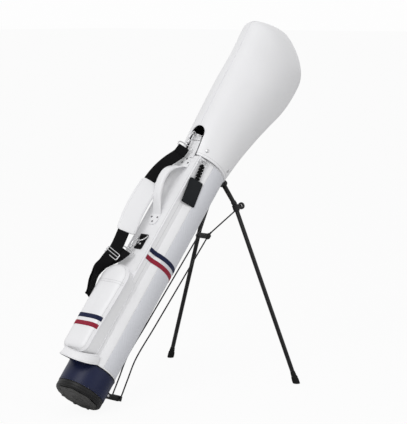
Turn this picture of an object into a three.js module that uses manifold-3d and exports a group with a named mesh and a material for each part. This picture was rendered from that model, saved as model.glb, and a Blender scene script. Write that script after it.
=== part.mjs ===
import * as THREE from "three";
import { mergeVertices } from "three/addons/utils/BufferGeometryUtils.js";
import Module from "manifold-3d";

// A slim golf stand bag, leaning back on its two opened legs, with its club hood on.
// Millimetres, +Z up, floor at z = 0. The bag leans towards +X and its legs spread along Y.
// Everything on the bag is drawn in the bag's own frame, which one group then leans over:
//   local Z runs up the tube from the underside of the base,
//   local +X is the back of the bag, where the legs are, and -X is the front, with the pocket.

const wasm = await Module();
wasm.setup();

// ---------------------------------------------------------------- driving dimensions

const GAP = 0.3; // clearance between pieces that touch on the real bag
const LEAN = THREE.MathUtils.degToRad(41.9); // of the tube's axis from vertical, legs open

const TUBE_R = 67;
const TUBE_WALL = 3;
const RIM_Z = 774; // top edge of the tube
const COLLAR_HEIGHT = 17;
const COLLAR_WALL = 6;
const DIVIDER_THICK = 5;
const DIVIDER_DEPTH = 42;

const BASE_R = TUBE_R + 1; // moulded base, where it meets the band
const BASE_BOTTOM_R = TUBE_R - 2;
const BASE_HEIGHT = 19;
const PLATE_R = TUBE_R - 7;
const PLATE_THICK = 3;
const BAND_THICK = 1.2;
const BAND_TOP_Z = 83.5;
const PIPING_HEIGHT = 2.6;

const PANEL_FRONT = TUBE_R + 8; // distance of the spine panel's face from the tube's axis
const PANEL_HALF = 41; // half its width at the face
const PANEL_FOOT_HALF = 46; // half its width where it meets the tube

const POCKET_BOTTOM_Z = 92;
const POCKET_TOP_Z = 368;
const POCKET_HALF = 45;
const POCKET_EDGE = PANEL_FRONT + 25; // distance of the pocket's piped edge from the axis
const POCKET_FRONT = POCKET_EDGE + 16; // and of the middle of its face
const POCKET_BOTTOM_ROUND = 22;
const ZIP_ANGLE = THREE.MathUtils.degToRad(8); // slider's place round the arch, from its +Y side

const HANDLE_HIGH_Z = RIM_Z - 9;
const HANDLE_LOW_Z = HANDLE_HIGH_Z - 238;
const HANDLE_GRIP_LOW_Z = HANDLE_LOW_Z + 35;
const HANDLE_GRIP_HIGH_Z = HANDLE_HIGH_Z - 35;
const HANDLE_REACH = PANEL_FRONT + 51; // how far the middle of the grip stands from the axis
const HANDLE_SKEW = 1.3; // over 1, its arch is fullest above its middle
const HANDLE_WIDTH = 25;
const HANDLE_THICK = 11;
const TAB_THICK = 2.6;
const RIVET_R = 3.2;
const RIVET_HEIGHT = 1.8;

const PATCH_WIDTH = 29;
const PATCH_HEIGHT = 50;
const PATCH_Z = POCKET_TOP_Z + 99;
const PATCH_THICK = 1.8;
const RING_WIRE_R = 1.6;
const RING_WIDTH = 30;
const RING_DROP = 24;

const TOP_TAB_Z = RIM_Z + 68; // height of the metal ring that the strap's upper hook holds
const TOP_TAB_WIDTH = 30;
const TOP_TAB_THICK = 2.4;
const TOP_TAB_REACH = PANEL_FRONT + 9;

const WEB_WIDTH = 34;
const WEB_THICK = 2.2;
const PAD_WIDTH = 50;
const PAD_THICK = 11;

const HOOK_WIRE_R = 2.1;
const HOOK_BIGHT_R = 7;

const LOOP_WIDTH = 24; // webbing of the grab handle at the base
const LOOP_THICK = 3;
const LOOP_HALF = 52;
const LOOP_REACH = TUBE_R + 47;
const LOOP_Z = 100;
const LOOP_SAG = 24;
const LOOP_ROOT = Math.sqrt((TUBE_R + 3.6) ** 2 - LOOP_HALF ** 2) + 0.3; // where its ends meet the tube

const HINGE_X = TUBE_R + 11; // leg hinges, from the axis of the tube
const HINGE_Y = 22;
const BRACKET_WALL = 4;
const BRACKET_REACH = THREE.MathUtils.degToRad(34); // how far the bracket goes round the tube each way
const HINGE_Z = RIM_Z + 13;
const FOOT_X = 649; // where a foot stands, from below the middle of the base
const FOOT_Y = 250;
const LEG_R = 6.3;
const ELBOW = new THREE.Vector3(HINGE_X + 49, HINGE_Y + 33, HINGE_Z - 35);
const FOOT_LENGTH = 36;
const FOOT_R = 11.5;
const PIN_R = 2.5;
const PIN_PLAY = 0.4;

const SLEEVE_WALL = 2.6;
const SLEEVE_START = 0.86; // below the top of the leg's tube
const SLEEVE_LENGTH = 20;
const EAR_OFFSET = LEG_R + 13.7;
const EAR_R = 10.5;
const EAR_HOLE_R = 4.5;
const EAR_THICK = 5;
const ROD_PLAY = 2; // between a rod's tip and the ear it works on

const LEVER_PIVOT = new THREE.Vector3(BASE_R + 14, 0, 58);
const LEVER_TIP = new THREE.Vector3(LEVER_PIVOT.x + 49, 0, LEVER_PIVOT.z + 19); // where the push rods hook in
const LEVER_HALF = 13;
const LEVER_TIP_R = 8;
const ROD_R = 1.7;
const ROD_Y = 16;
const ROD_BEND = new THREE.Vector3(TUBE_R + 43, 0, 193);
const BRIDGE = new THREE.Vector3(TUBE_R + 63, 0, RIM_Z - 147);
const BRIDGE_Y = 18;

const HOOD_WALL = 3;
const HOOD_ARCH_HALF = 27;
const HOOD_ARCH_Z = RIM_Z + 94;
const HOOD_NOTCH_HALF = (TUBE_R + BRACKET_WALL) * Math.sin(BRACKET_REACH) + 4; // clear of the bracket
const HOOD_NOTCH_Z = RIM_Z + 38;
const STUD_R = 6;
const STUD_HEIGHT = 2.4;
const STUD_ANGLES = [-144, -67, 67, 144]; // degrees round the tube, from the back

const TAG_ANGLE = THREE.MathUtils.degToRad(-110); // the way the tag faces, from the back
const TAG_SHIFT = -40.6; // the ring's place along the tag's own plane
const TAG_TURN = THREE.MathUtils.degToRad(8); // the tag hangs a little askew
const TAG_WIDTH = 45;
const TAG_LENGTH = 79;
const TAG_THICK = 3;
const TAG_RING_Z = RIM_Z - 10;
const TAG_WIRE_R = 1.3;
const TAG_TAB_THICK = 3.8;
const TAG_DROP = 60; // from the ring's bar down to the plate

// ---------------------------------------------------------------- materials

function finish(colour, roughness, metalness = 0) {
  return new THREE.MeshStandardMaterial({ color: colour, roughness, metalness });
}

const WHITE_LEATHER = finish(0xf2f2f3, 0.5);
const NAVY_LEATHER = finish(0x20284a, 0.45);
const BLACK_PLASTIC = finish(0x17181a, 0.5);
const GREY_PLASTIC = finish(0x5d5a54, 0.6);
const BLACK_WEBBING = finish(0x121214, 0.9);
const BLACK_METAL = finish(0x1a1b1d, 0.4, 0.6);
const RUBBER = finish(0x1b1b1c, 0.85);
const STEEL = finish(0xc9cacc, 0.25, 1);
const LINING = finish(0x26272a, 0.9);

// ---------------------------------------------------------------- helpers

const at = (x, y, z) => new THREE.Vector3(x, y, z);

// A closed geometry as a manifold-3d solid, turned the right way out.
function solid(geometry) {
  const bare = geometry.clone();
  bare.deleteAttribute("normal");
  bare.deleteAttribute("uv");
  const merged = mergeVertices(bare, 1e-4);
  const corners = merged.index.array;
  const kept = [];
  for (let i = 0; i < corners.length; i += 3) {
    const [a, b, c] = corners.slice(i, i + 3);
    if (a !== b && b !== c && c !== a) kept.push(a, b, c);
  }
  const vertProperties = new Float32Array(merged.attributes.position.array);
  const build = (triVerts) => new wasm.Manifold(new wasm.Mesh({ numProp: 3, vertProperties, triVerts }));
  const made = build(new Uint32Array(kept));
  return made.volume() >= 0 ? made : build(new Uint32Array(kept.reverse()));
}

function geometryOf(manifold) {
  const { numProp, vertProperties, triVerts } = manifold.getMesh();
  const positions = [];
  for (let i = 0; i < vertProperties.length; i += numProp) {
    positions.push(...vertProperties.subarray(i, i + 3));
  }
  const geometry = new THREE.BufferGeometry();
  geometry.setAttribute("position", new THREE.Float32BufferAttribute(positions, 3));
  geometry.setIndex(new THREE.BufferAttribute(triVerts, 1));
  geometry.computeVertexNormals();
  return geometry;
}

// Rings of the same number of points, skinned one to the next and closed at both ends.
function loft(rings) {
  const count = rings[0].length;
  const points = rings.flat();
  const faces = [];
  for (let i = 0; i + 1 < rings.length; i++) {
    for (let j = 0; j < count; j++) {
      const a = i * count + j;
      const b = i * count + ((j + 1) % count);
      faces.push(a, b, b + count, a, b + count, a + count);
    }
  }
  for (const start of [0, (rings.length - 1) * count]) {
    const middle = at(0, 0, 0);
    for (let j = 0; j < count; j++) middle.addScaledVector(points[start + j], 1 / count);
    points.push(middle);
    for (let j = 0; j < count; j++) {
      const a = start + j;
      const b = start + ((j + 1) % count);
      faces.push(...(start ? [points.length - 1, a, b] : [points.length - 1, b, a]));
    }
  }
  const geometry = new THREE.BufferGeometry().setFromPoints(points);
  geometry.setIndex(faces);
  return geometry;
}

// A solid of revolution about local Z, from [radius, height] pairs.
function turned(profile, segments = 40) {
  const points = profile.map(([r, z]) => new THREE.Vector2(r, z));
  return new THREE.LatheGeometry(points, segments).rotateX(Math.PI / 2);
}

function ring(inner, outer, low, high, segments = 40) {
  return turned([[inner, low], [outer, low], [outer, high], [inner, high], [inner, low]], segments);
}

// A cylinder or cone between two points.
function bar(from, to, radius, endRadius = radius, segments = 12) {
  const span = to.clone().sub(from);
  const geometry = new THREE.CylinderGeometry(endRadius, radius, span.length(), segments);
  const turn = new THREE.Quaternion().setFromUnitVectors(at(0, 1, 0), span.clone().normalize());
  geometry.applyQuaternion(turn);
  const middle = from.clone().add(to).multiplyScalar(0.5);
  return geometry.translate(middle.x, middle.y, middle.z);
}

function box(low, high) {
  const size = high.clone().sub(low);
  const middle = low.clone().add(high).multiplyScalar(0.5);
  return new THREE.BoxGeometry(size.x, size.y, size.z).translate(middle.x, middle.y, middle.z);
}

// A round wire along a smooth line through the points.
function wire(points, radius, steps, sides = 8, closed = false) {
  const section = new THREE.Shape().absarc(0, 0, radius, 0, 2 * Math.PI);
  const path = new THREE.CatmullRomCurve3(points, closed, "centripetal");
  return new THREE.ExtrudeGeometry(section, {
    extrudePath: path,
    steps,
    curveSegments: sides / 2,
    bevelEnabled: false,
  });
}

// Points round a rectangle with rounded corners, in the plane of two unit vectors.
function roundedSection(centre, across, up, width, height, radius, perCorner = 3) {
  const points = [];
  const corners = [[1, 1], [-1, 1], [-1, -1], [1, -1]];
  corners.forEach(([sx, sy], index) => {
    for (let k = 0; k < perCorner; k++) {
      const angle = (index + k / (perCorner - 1)) * (Math.PI / 2);
      const x = sx * (width / 2 - radius) + radius * Math.cos(angle);
      const y = sy * (height / 2 - radius) + radius * Math.sin(angle);
      points.push(centre.clone().addScaledVector(across, x).addScaledVector(up, y));
    }
  });
  return points;
}

// A flat band that runs through stations of { p: centre, across: unit vector }.
function band(stations, width, thickness, radius = thickness / 2.2) {
  return loft(stations.map(({ p, across }, i) => {
    const before = stations[Math.max(i - 1, 0)].p;
    const after = stations[Math.min(i + 1, stations.length - 1)].p;
    const along = after.clone().sub(before).normalize();
    const up = along.clone().cross(across).normalize();
    const side = up.clone().cross(along).normalize();
    return roundedSection(p, side, up, width, thickness, radius);
  }));
}

function slab(centre, across, up, width, height, radius, thickness) {
  const normal = across.clone().cross(up).normalize();
  const face = (offset) =>
    roundedSection(centre.clone().addScaledVector(normal, offset), across, up, width, height, radius, 4);
  return loft([face(-thickness / 2), face(thickness / 2)]);
}

const bag = new THREE.Group();
bag.rotation.y = LEAN;
bag.position.z = BASE_BOTTOM_R * Math.sin(LEAN);
bag.updateMatrixWorld(true);

// Adds a named piece; a manifold-3d solid or a plain closed geometry will do.
function add(name, shape, material) {
  const manifold = shape.getMesh ? shape : solid(shape);
  const mesh = new THREE.Mesh(geometryOf(manifold), material);
  mesh.name = name;
  bag.add(mesh);
  return mesh;
}

// ---------------------------------------------------------------- tube and base

function makeTube() {
  const bottom = BASE_HEIGHT + GAP;
  add("body_shell", ring(TUBE_R - TUBE_WALL, TUBE_R, bottom, RIM_Z), WHITE_LEATHER);

  const bandInner = TUBE_R + GAP;
  const bandOuter = bandInner + BAND_THICK;
  add("base_band", ring(bandInner, bandOuter, bottom, BAND_TOP_Z), NAVY_LEATHER);
  const pipingLow = BAND_TOP_Z + GAP;
  add("base_piping", ring(bandInner, bandOuter + 0.8, pipingLow, pipingLow + PIPING_HEIGHT), BLACK_PLASTIC);

  // The spine panel lies on the front of the tube, from the piping up to the rim.
  const hug = TUBE_R + GAP;
  const reach = Math.asin(PANEL_FOOT_HALF / hug);
  const outline = new THREE.Shape();
  outline.moveTo(-PANEL_FRONT, PANEL_HALF);
  outline.lineTo(-hug * Math.cos(reach), PANEL_FOOT_HALF);
  outline.absarc(0, 0, hug, Math.PI - reach, Math.PI + reach, false);
  outline.lineTo(-PANEL_FRONT, -PANEL_HALF);
  outline.closePath();
  const panelLow = pipingLow + PIPING_HEIGHT + GAP;
  const panel = new THREE.ExtrudeGeometry(outline, {
    depth: RIM_Z - panelLow,
    bevelEnabled: false,
    curveSegments: 12,
  });
  add("spine_panel", panel.translate(0, 0, panelLow), WHITE_LEATHER);
}

function makeRim() {
  const low = RIM_Z + GAP;
  add("top_collar", ring(TUBE_R - COLLAR_WALL, TUBE_R, low, low + COLLAR_HEIGHT), WHITE_LEATHER);

  // A padded bar across the mouth keeps two groups of clubs apart.
  const inner = TUBE_R - COLLAR_WALL - GAP;
  const top = low + COLLAR_HEIGHT;
  const half = DIVIDER_THICK / 2;
  const across = box(at(-inner + 0.4, -half, top - DIVIDER_DEPTH), at(inner - 0.4, half, top - 2));
  add("club_divider", across, LINING);
}

function makeBase() {
  const cap = turned([
    [0, 0],
    [BASE_BOTTOM_R, 0],
    [BASE_R, 4],
    [BASE_R, BASE_HEIGHT],
    [0, BASE_HEIGHT],
  ]);
  add("base_cap", cap, BLACK_PLASTIC);

  // An eight-sided tread plate with a lug at each corner.
  const low = -GAP - PLATE_THICK;
  let plate = solid(turned([[0, low], [PLATE_R, low], [PLATE_R, -GAP], [0, -GAP]], 8));
  for (let i = 0; i < 8; i++) {
    const angle = (i * Math.PI) / 4 + Math.PI / 2;
    const middle = at((PLATE_R - 6) * Math.cos(angle), (PLATE_R - 6) * Math.sin(angle), 0);
    const lug = bar(middle.clone().setZ(low - 1.5), middle.clone().setZ(low + 1), 4.5, 5, 8);
    plate = plate.add(solid(lug));
  }
  const oval = turned([[9, low - 1.2], [17, low - 1.2], [17, low + 1], [9, low + 1], [9, low - 1.2]], 16);
  plate = plate.add(solid(oval.scale(0.62, 1.25, 1)));
  add("base_tread", plate, GREY_PLASTIC);
}

// ---------------------------------------------------------------- pocket and handles

// The outline of the pocket, seen from the front, inset by some distance.
function pocketOutline(x, inset) {
  const half = POCKET_HALF - inset;
  const arch = POCKET_HALF; // the arched top is as deep as the pocket is half wide
  const points = [];
  for (let i = 0; i <= 12; i++) {
    const angle = (i * Math.PI) / 12;
    const z = POCKET_TOP_Z - arch + (arch - inset) * Math.sin(angle);
    points.push(at(-x, half * Math.cos(angle), z));
  }
  const round = POCKET_BOTTOM_ROUND;
  for (const side of [-1, 1]) {
    for (let i = 0; i <= 4; i++) {
      const angle = ((side < 0 ? i : 4 - i) * Math.PI) / 8;
      const y = side * (half - round + round * Math.cos(angle));
      points.push(at(-x, y, POCKET_BOTTOM_Z + inset + round - round * Math.sin(angle)));
    }
  }
  return points;
}

function makePocket() {
  const back = PANEL_FRONT + GAP;
  const crown = POCKET_FRONT - POCKET_EDGE;
  const body = loft([
    pocketOutline(back, 0),
    pocketOutline(POCKET_EDGE, 0),
    pocketOutline(POCKET_EDGE + crown * 0.45, 3),
    pocketOutline(POCKET_EDGE + crown * 0.8, 10),
    pocketOutline(POCKET_FRONT, 22),
  ]);
  add("pocket_body", body, WHITE_LEATHER);

  // The zip runs round the gusset, and its slider can follow the arched part.
  const zipR = POCKET_HALF + GAP;
  const zipX = (back + POCKET_EDGE) / 2;
  const archZ = POCKET_TOP_Z - POCKET_HALF;
  const side = Math.cos(ZIP_ANGLE);
  const rise = Math.sin(ZIP_ANGLE);
  const outward = at(0, side, rise);
  const along = at(0, -rise, side);
  const slider = at(-zipX, 0, archZ).addScaledVector(outward, zipR + 2);
  add("zip_slider", slab(slider, at(1, 0, 0), along, 9, 13, 2, 3.6), STEEL);
  const pull = slider.clone().addScaledVector(outward, 3.6).addScaledVector(along, -14);
  add("zip_pull", slab(pull, at(1, 0, 0), along, 7, 30, 3, 1.8), STEEL);
}

// The carrying handle: two riveted tabs and a padded arch between them.
function makeHandle() {
  const face = PANEL_FRONT + GAP;
  const tab = face + TAB_THICK / 2;
  const middle = (HANDLE_GRIP_LOW_Z + HANDLE_GRIP_HIGH_Z) / 2;
  const half = (HANDLE_GRIP_HIGH_Z - HANDLE_GRIP_LOW_Z) / 2;
  const rings = [];
  const station = (x, z, slope, width, thickness, radius) => {
    const along = at(-Math.sin(slope), 0, Math.cos(slope));
    const up = at(-Math.cos(slope), 0, -Math.sin(slope));
    const across = up.clone().cross(along);
    rings.push(roundedSection(at(-x, 0, z), across, up, width, thickness, radius));
  };
  const flat = 0.9;
  station(tab, HANDLE_LOW_Z, 0, 12, TAB_THICK, flat);
  station(tab, HANDLE_LOW_Z + 8, 0, HANDLE_WIDTH + 6, TAB_THICK, flat);
  station(tab, HANDLE_GRIP_LOW_Z - 8, 0, HANDLE_WIDTH + 6, TAB_THICK, flat);
  const steps = 12;
  for (let i = 0; i <= steps; i++) {
    const t = i / steps;
    const z = middle + half * (2 * t - 1);
    const turn = Math.PI * t ** HANDLE_SKEW;
    const arch = Math.sin(turn) ** 0.7;
    const swell = Math.min(1, 3.2 * Math.min(t, 1 - t));
    const thickness = TAB_THICK + (HANDLE_THICK - TAB_THICK) * swell;
    const x = face + thickness / 2 + (HANDLE_REACH - face - HANDLE_THICK / 2) * arch;
    const slope = (Math.PI / 3.4) * Math.cos(turn) * Math.min(1, 6 * Math.min(t, 1 - t));
    station(x, z, slope, HANDLE_WIDTH, thickness, Math.min(thickness / 2.3, 4.5));
  }
  station(tab, HANDLE_GRIP_HIGH_Z + 8, 0, HANDLE_WIDTH + 6, TAB_THICK, flat);
  station(tab, HANDLE_HIGH_Z - 8, 0, HANDLE_WIDTH + 6, TAB_THICK, flat);
  station(tab, HANDLE_HIGH_Z, 0, 12, TAB_THICK, flat);
  add("carry_handle", loft(rings), WHITE_LEATHER);

  const seat = -(face + TAB_THICK + GAP);
  const places = [
    [0, HANDLE_HIGH_Z - 6],
    [9.5, HANDLE_HIGH_Z - 20],
    [-9.5, HANDLE_HIGH_Z - 20],
    [9.5, HANDLE_LOW_Z + 24],
    [-9.5, HANDLE_LOW_Z + 24],
    [0, HANDLE_LOW_Z + 9],
  ];
  places.forEach(([y, z], i) => {
    const dome = bar(at(seat, y, z), at(seat - RIVET_HEIGHT, y, z), RIVET_R, RIVET_R * 0.6, 12);
    add(`handle_rivet_${i + 1}`, dome, BLACK_METAL);
  });
}

// The webbing loop round the foot of the pocket.
function makeGrabLoop() {
  const stations = [];
  const steps = 16;
  for (let i = 0; i <= steps; i++) {
    const angle = -Math.PI / 2 + (Math.PI * i) / steps;
    const reach = Math.pow(Math.cos(angle), 0.75);
    const y = LOOP_HALF * Math.sin(angle);
    const x = LOOP_ROOT + (LOOP_REACH - LOOP_ROOT) * reach;
    stations.push({ p: at(-x, y, LOOP_Z - LOOP_SAG * reach), across: at(0.25, 0, 1).normalize() });
  }
  add("grab_loop", band(stations, LOOP_WIDTH, LOOP_THICK, 1.2), WHITE_LEATHER);
}

// ---------------------------------------------------------------- rings, hooks and strap

const LOWER_RING_DOWN = at(-0.36, 0, -0.93).normalize();
const UPPER_RING_DOWN = at(-0.8, 0, -0.2).normalize();

// A closed D of wire hanging from its straight bar, in the plane of across and down.
function dRing(middle, across, down, width, drop, wireR) {
  const points = [];
  const half = width / 2;
  for (const t of [-1, -0.33, 0.33]) points.push(middle.clone().addScaledVector(across, t * half));
  for (let i = 0; i < 7; i++) {
    const angle = (i * Math.PI) / 7 + 0.12;
    const p = middle.clone().addScaledVector(across, half * Math.cos(angle));
    points.push(p.addScaledVector(down, drop * Math.sin(angle) ** 0.7));
  }
  return wire(points, wireR, 20, 6, true);
}

function makeRings() {
  const face = PANEL_FRONT + GAP;
  const patch = at(-(face + PATCH_THICK / 2), 0, PATCH_Z);
  const patchShape = slab(patch, at(0, 1, 0), at(0, 0, 1), PATCH_WIDTH, PATCH_HEIGHT, 4, PATCH_THICK);
  add("ring_patch", patchShape, BLACK_WEBBING);
  const stud = at(-(face + PATCH_THICK + GAP), 0, PATCH_Z - 8);
  add("patch_rivet", bar(stud, stud.clone().setX(stud.x - RIVET_HEIGHT), RIVET_R, RIVET_R * 0.6, 12), STEEL);

  const lower = at(-(face + PATCH_THICK + GAP + RING_WIRE_R), 0, PATCH_Z + 18);
  add("ring_lower", dRing(lower, at(0, 1, 0), LOWER_RING_DOWN, RING_WIDTH, RING_DROP, RING_WIRE_R), STEEL);

  // A leather tab stands up from the rim and folds round the upper ring.
  const foot = at(-(PANEL_FRONT + GAP + TOP_TAB_THICK / 2 + 0.2), 0, RIM_Z - 2);
  const top = at(-TOP_TAB_REACH, 0, TOP_TAB_Z - 8);
  const tab = [foot, foot.clone().setZ(RIM_Z + 14), top.clone().setZ(TOP_TAB_Z - 26), top];
  const lying = tab.map((p) => ({ p, across: at(0, 1, 0) }));
  add("ring_tab", band(lying, TOP_TAB_WIDTH, TOP_TAB_THICK, 1), WHITE_LEATHER);
  const upper = at(-TOP_TAB_REACH, 0, TOP_TAB_Z - 8 + RING_WIRE_R + GAP);
  add("ring_upper", dRing(upper, at(0, 1, 0), UPPER_RING_DOWN, RING_WIDTH, 17, RING_WIRE_R), STEEL);
}

// A swivel snap hook. Its bight goes round a ring at `start`, and its eye holds the webbing.
function makeSnapHook(name, start, away, open, across) {
  const on = (along, out) => start.clone().addScaledVector(away, along).addScaledVector(open, out);
  const r = HOOK_BIGHT_R;
  const back = [on(24, -2), on(16, -r), on(6, -r)];
  const bight = [0.2, 0.5, 0.8, 1].map((t) => {
    const angle = Math.PI * t;
    return on(-r * Math.sin(angle), -r * Math.cos(angle));
  });
  const jaw = wire([...back, ...bight, on(3, r)], HOOK_WIRE_R, 18, 6);
  const barrel = bar(on(22, 0), on(34, 0), 4.6, 4.6, 10);
  const neck = bar(on(33, 0), on(41, 0), 2.4, 2.4, 8);
  const eyeLow = on(40, 0);
  const half = WEB_WIDTH / 2 + 3.5;
  const eyePoint = (side, along) => eyeLow.clone().addScaledVector(across, side).addScaledVector(away, along);
  const eye = wire(
    [[-half, 3], [-half, 11], [0, 13], [half, 11], [half, 3], [0, 0]].map(([x, up]) => eyePoint(x, up)),
    HOOK_WIRE_R * 0.85,
    20,
    6,
    true,
  );
  const whole = solid(jaw).add(solid(barrel)).add(solid(neck)).add(solid(eye));
  add(`snap_hook_${name}`, whole, STEEL);
  const far = eyePoint(0, 13);
  const gate = bar(on(4.6 + HOOK_WIRE_R, r), on(21.5 - GAP, r - 2.4), 1.6, 1.6, 10);
  add(`hook_gate_${name}`, gate, STEEL);
  return { far, away };
}

// A point that stands the given distance in front of the spine panel's face.
function inFront(out, y, z) {
  return at(-(PANEL_FRONT + out), y, z);
}

// The strap's middle line and the direction of its width, which twists as it passes the pocket.
const STRAP_ACROSS = at(0.7, -0.7, -0.1).normalize();
const TAIL_ACROSS = at(1, -0.12, 0).normalize();
const UPPER_EYE = inFront(27, 15, RIM_Z - 21);
const LOWER_EYE = inFront(38, 13, PATCH_Z - 76);
const PAD_TOP = inFront(56, 35, PATCH_Z + 170);
const PAD_BOTTOM = inFront(54, 28, PATCH_Z - 3);

const STRAP_STRAIGHT_Z = POCKET_TOP_Z + 18; // the webbing starts to turn edge-on below this height
const TAIL_STRAIGHT_Z = POCKET_TOP_Z - 46; // and lies along the pocket's side below this one

function strapAcross(p) {
  const turn = THREE.MathUtils.clamp((STRAP_STRAIGHT_Z - p.z) / (STRAP_STRAIGHT_Z - TAIL_STRAIGHT_Z), 0, 1);
  return STRAP_ACROSS.clone().lerp(TAIL_ACROSS, turn).normalize();
}

// Stations of the strap along a smooth line through the points.
function smoothBand(points, steps) {
  const path = new THREE.CatmullRomCurve3(points, false, "centripetal");
  return path.getPoints(steps).map((p) => ({ p, across: strapAcross(p) }));
}

// upperBar and lowerBar are the bars of the hooks' eyes, each with the way it faces.
function makeStrap(upperBar, lowerBar) {
  const offUpperBar = HOOK_WIRE_R + 0.5;
  const offLowerBar = HOOK_WIRE_R + 2.4;
  const offPad = 1;

  const padMiddle = [inFront(59, 36, PATCH_Z + 115), inFront(60, 33, PATCH_Z + 56)];
  const pad = smoothBand([PAD_TOP, ...padMiddle, PAD_BOTTOM], 9);
  add("strap_pad", band(pad, PAD_WIDTH, PAD_THICK, 4.5), WHITE_LEATHER);
  const padUp = pad[0].p.clone().sub(pad[1].p).normalize();
  const padDown = pad.at(-1).p.clone().sub(pad.at(-2).p).normalize();

  const upperEnd = upperBar.far.clone().addScaledVector(upperBar.away, offUpperBar);
  const padIn = PAD_TOP.clone().addScaledVector(padUp, offPad);
  const upperStart = upperEnd.clone().addScaledVector(upperBar.away, 8);
  const padStart = padIn.clone().addScaledVector(padUp, 8);
  const slope = [inFront(41, 24, RIM_Z - 54), inFront(48, 34, RIM_Z - 90)];
  const upper = smoothBand([upperEnd, upperStart, ...slope, padStart, padIn], 10);
  add("strap_web_upper", band(upper, WEB_WIDTH, WEB_THICK), BLACK_WEBBING);

  // Below the pad the webbing goes down the pocket's +Y side, turns back and rises to the hook.
  const padOut = PAD_BOTTOM.clone().addScaledVector(padDown, offPad);
  const beside = (out, y, drop) => inFront(out, y, POCKET_TOP_Z - drop);
  const down = [padOut, beside(53, 22, -32), beside(53, 32, 3), beside(43, 51, 38), beside(36, 53, 68)];
  const turn = [beside(24, 55, 92), beside(21, 56.5, 105), beside(21, 61.5, 105), beside(24, 63, 92)];
  const lowerEnd = lowerBar.far.clone().addScaledVector(lowerBar.away, offLowerBar);
  const lowerStart = lowerEnd.clone().addScaledVector(lowerBar.away, 12);
  const up = [beside(36, 64, 62), beside(39, 60, 22), lowerStart, lowerEnd];
  const lower = smoothBand([...down, ...turn, ...up], 36);
  add("strap_web_lower", band(lower, WEB_WIDTH, WEB_THICK), BLACK_WEBBING);

  const slide = lower[4];
  const along = lower[5].p.clone().sub(lower[3].p).normalize();
  const face = slide.across.clone().cross(along).normalize();
  const side = along.clone().cross(face).normalize();
  const frame = solid(slab(slide.p, side, along, WEB_WIDTH + 9, 20, 3, 9));
  const slot = solid(slab(slide.p, side, along, WEB_WIDTH + 2.4, 40, 1, WEB_THICK + 4.4));
  add("strap_slider", frame.subtract(slot), STEEL);
}

function makeHooks() {
  const lowerRing = at(-(PANEL_FRONT + PATCH_THICK + 2 * GAP + RING_WIRE_R), 0, PATCH_Z + 18);
  const lowerBight = lowerRing.addScaledVector(LOWER_RING_DOWN, RING_DROP).add(at(0, 4, 0));
  const lowerAway = LOWER_EYE.clone().sub(lowerBight).normalize();
  const lowerOpen = lowerAway.clone().cross(at(0, 1, 0)).normalize();
  const lowerBar = makeSnapHook("lower", lowerBight, lowerAway, lowerOpen, STRAP_ACROSS);

  const upperRing = at(-TOP_TAB_REACH, 0, TOP_TAB_Z - 8 + RING_WIRE_R + GAP);
  const upperBight = upperRing.addScaledVector(UPPER_RING_DOWN, 17).add(at(0, 2, 0));
  const upperAway = UPPER_EYE.clone().sub(upperBight).normalize();
  const upperOpen = upperAway.clone().cross(at(0, 1, 0)).normalize();
  const upperBar = makeSnapHook("upper", upperBight, upperAway, upperOpen, STRAP_ACROSS);
  makeStrap(upperBar, lowerBar);
}

// ---------------------------------------------------------------- name tag

function makeTag() {
  const out = at(Math.cos(TAG_ANGLE), Math.sin(TAG_ANGLE), 0);
  const tangent = at(-out.y, out.x, 0);
  const down = tangent.clone().multiplyScalar(Math.sin(TAG_TURN)).add(at(0, 0, -Math.cos(TAG_TURN)));
  const side = down.clone().cross(out).normalize();
  const anchor = tangent.clone().multiplyScalar(TAG_SHIFT).setZ(TAG_RING_Z);
  const on = (distance, drop) =>
    anchor.clone().addScaledVector(out, distance).addScaledVector(down, drop);
  const lift = TUBE_R + GAP + TAG_THICK / 2;

  const tabFace = lift - TAG_WIRE_R - GAP;
  const tabMiddle = on(tabFace - TAG_TAB_THICK / 2, -4);
  add("tag_tab", slab(tabMiddle, tangent, at(0, 0, 1), 14, 9, 2, TAG_TAB_THICK), WHITE_LEATHER);
  add("tag_ring", dRing(on(lift, -2), side, down, 20, 13, TAG_WIRE_R), STEEL);
  const strapTop = 11 + TAG_WIRE_R + GAP;
  const strapMiddle = on(lift, (strapTop + TAG_DROP) / 2);
  add("tag_strap", slab(strapMiddle, side, down, 9, TAG_DROP - strapTop, 1, TAG_THICK), BLACK_WEBBING);
  const plate = on(lift, TAG_DROP + GAP + TAG_LENGTH / 2);
  add("tag_plate", slab(plate, side, down, TAG_WIDTH, TAG_LENGTH, 5, TAG_THICK), BLACK_PLASTIC);
}

// ---------------------------------------------------------------- stand

const SIDES = [["right", -1], ["left", 1]];

// Where the legs are drawn, in the bag's frame: the foot's point on the floor.
function footPoint(sign) {
  return bag.worldToLocal(at(FOOT_X, sign * FOOT_Y, 0));
}

// One leg's hinge, elbow and directions. sign is +1 for the +Y leg.
function legLine(sign) {
  const hinge = at(HINGE_X, sign * HINGE_Y, HINGE_Z);
  const elbow = at(ELBOW.x, sign * ELBOW.y, ELBOW.z);
  const foot = footPoint(sign);
  const along = foot.clone().sub(elbow).normalize();
  const axle = at(-along.y, along.x, 0).normalize().multiplyScalar(sign);
  const outward = along.clone().cross(axle).normalize().multiplyScalar(sign);
  return { hinge, elbow, foot, along, axle, outward };
}

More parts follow.
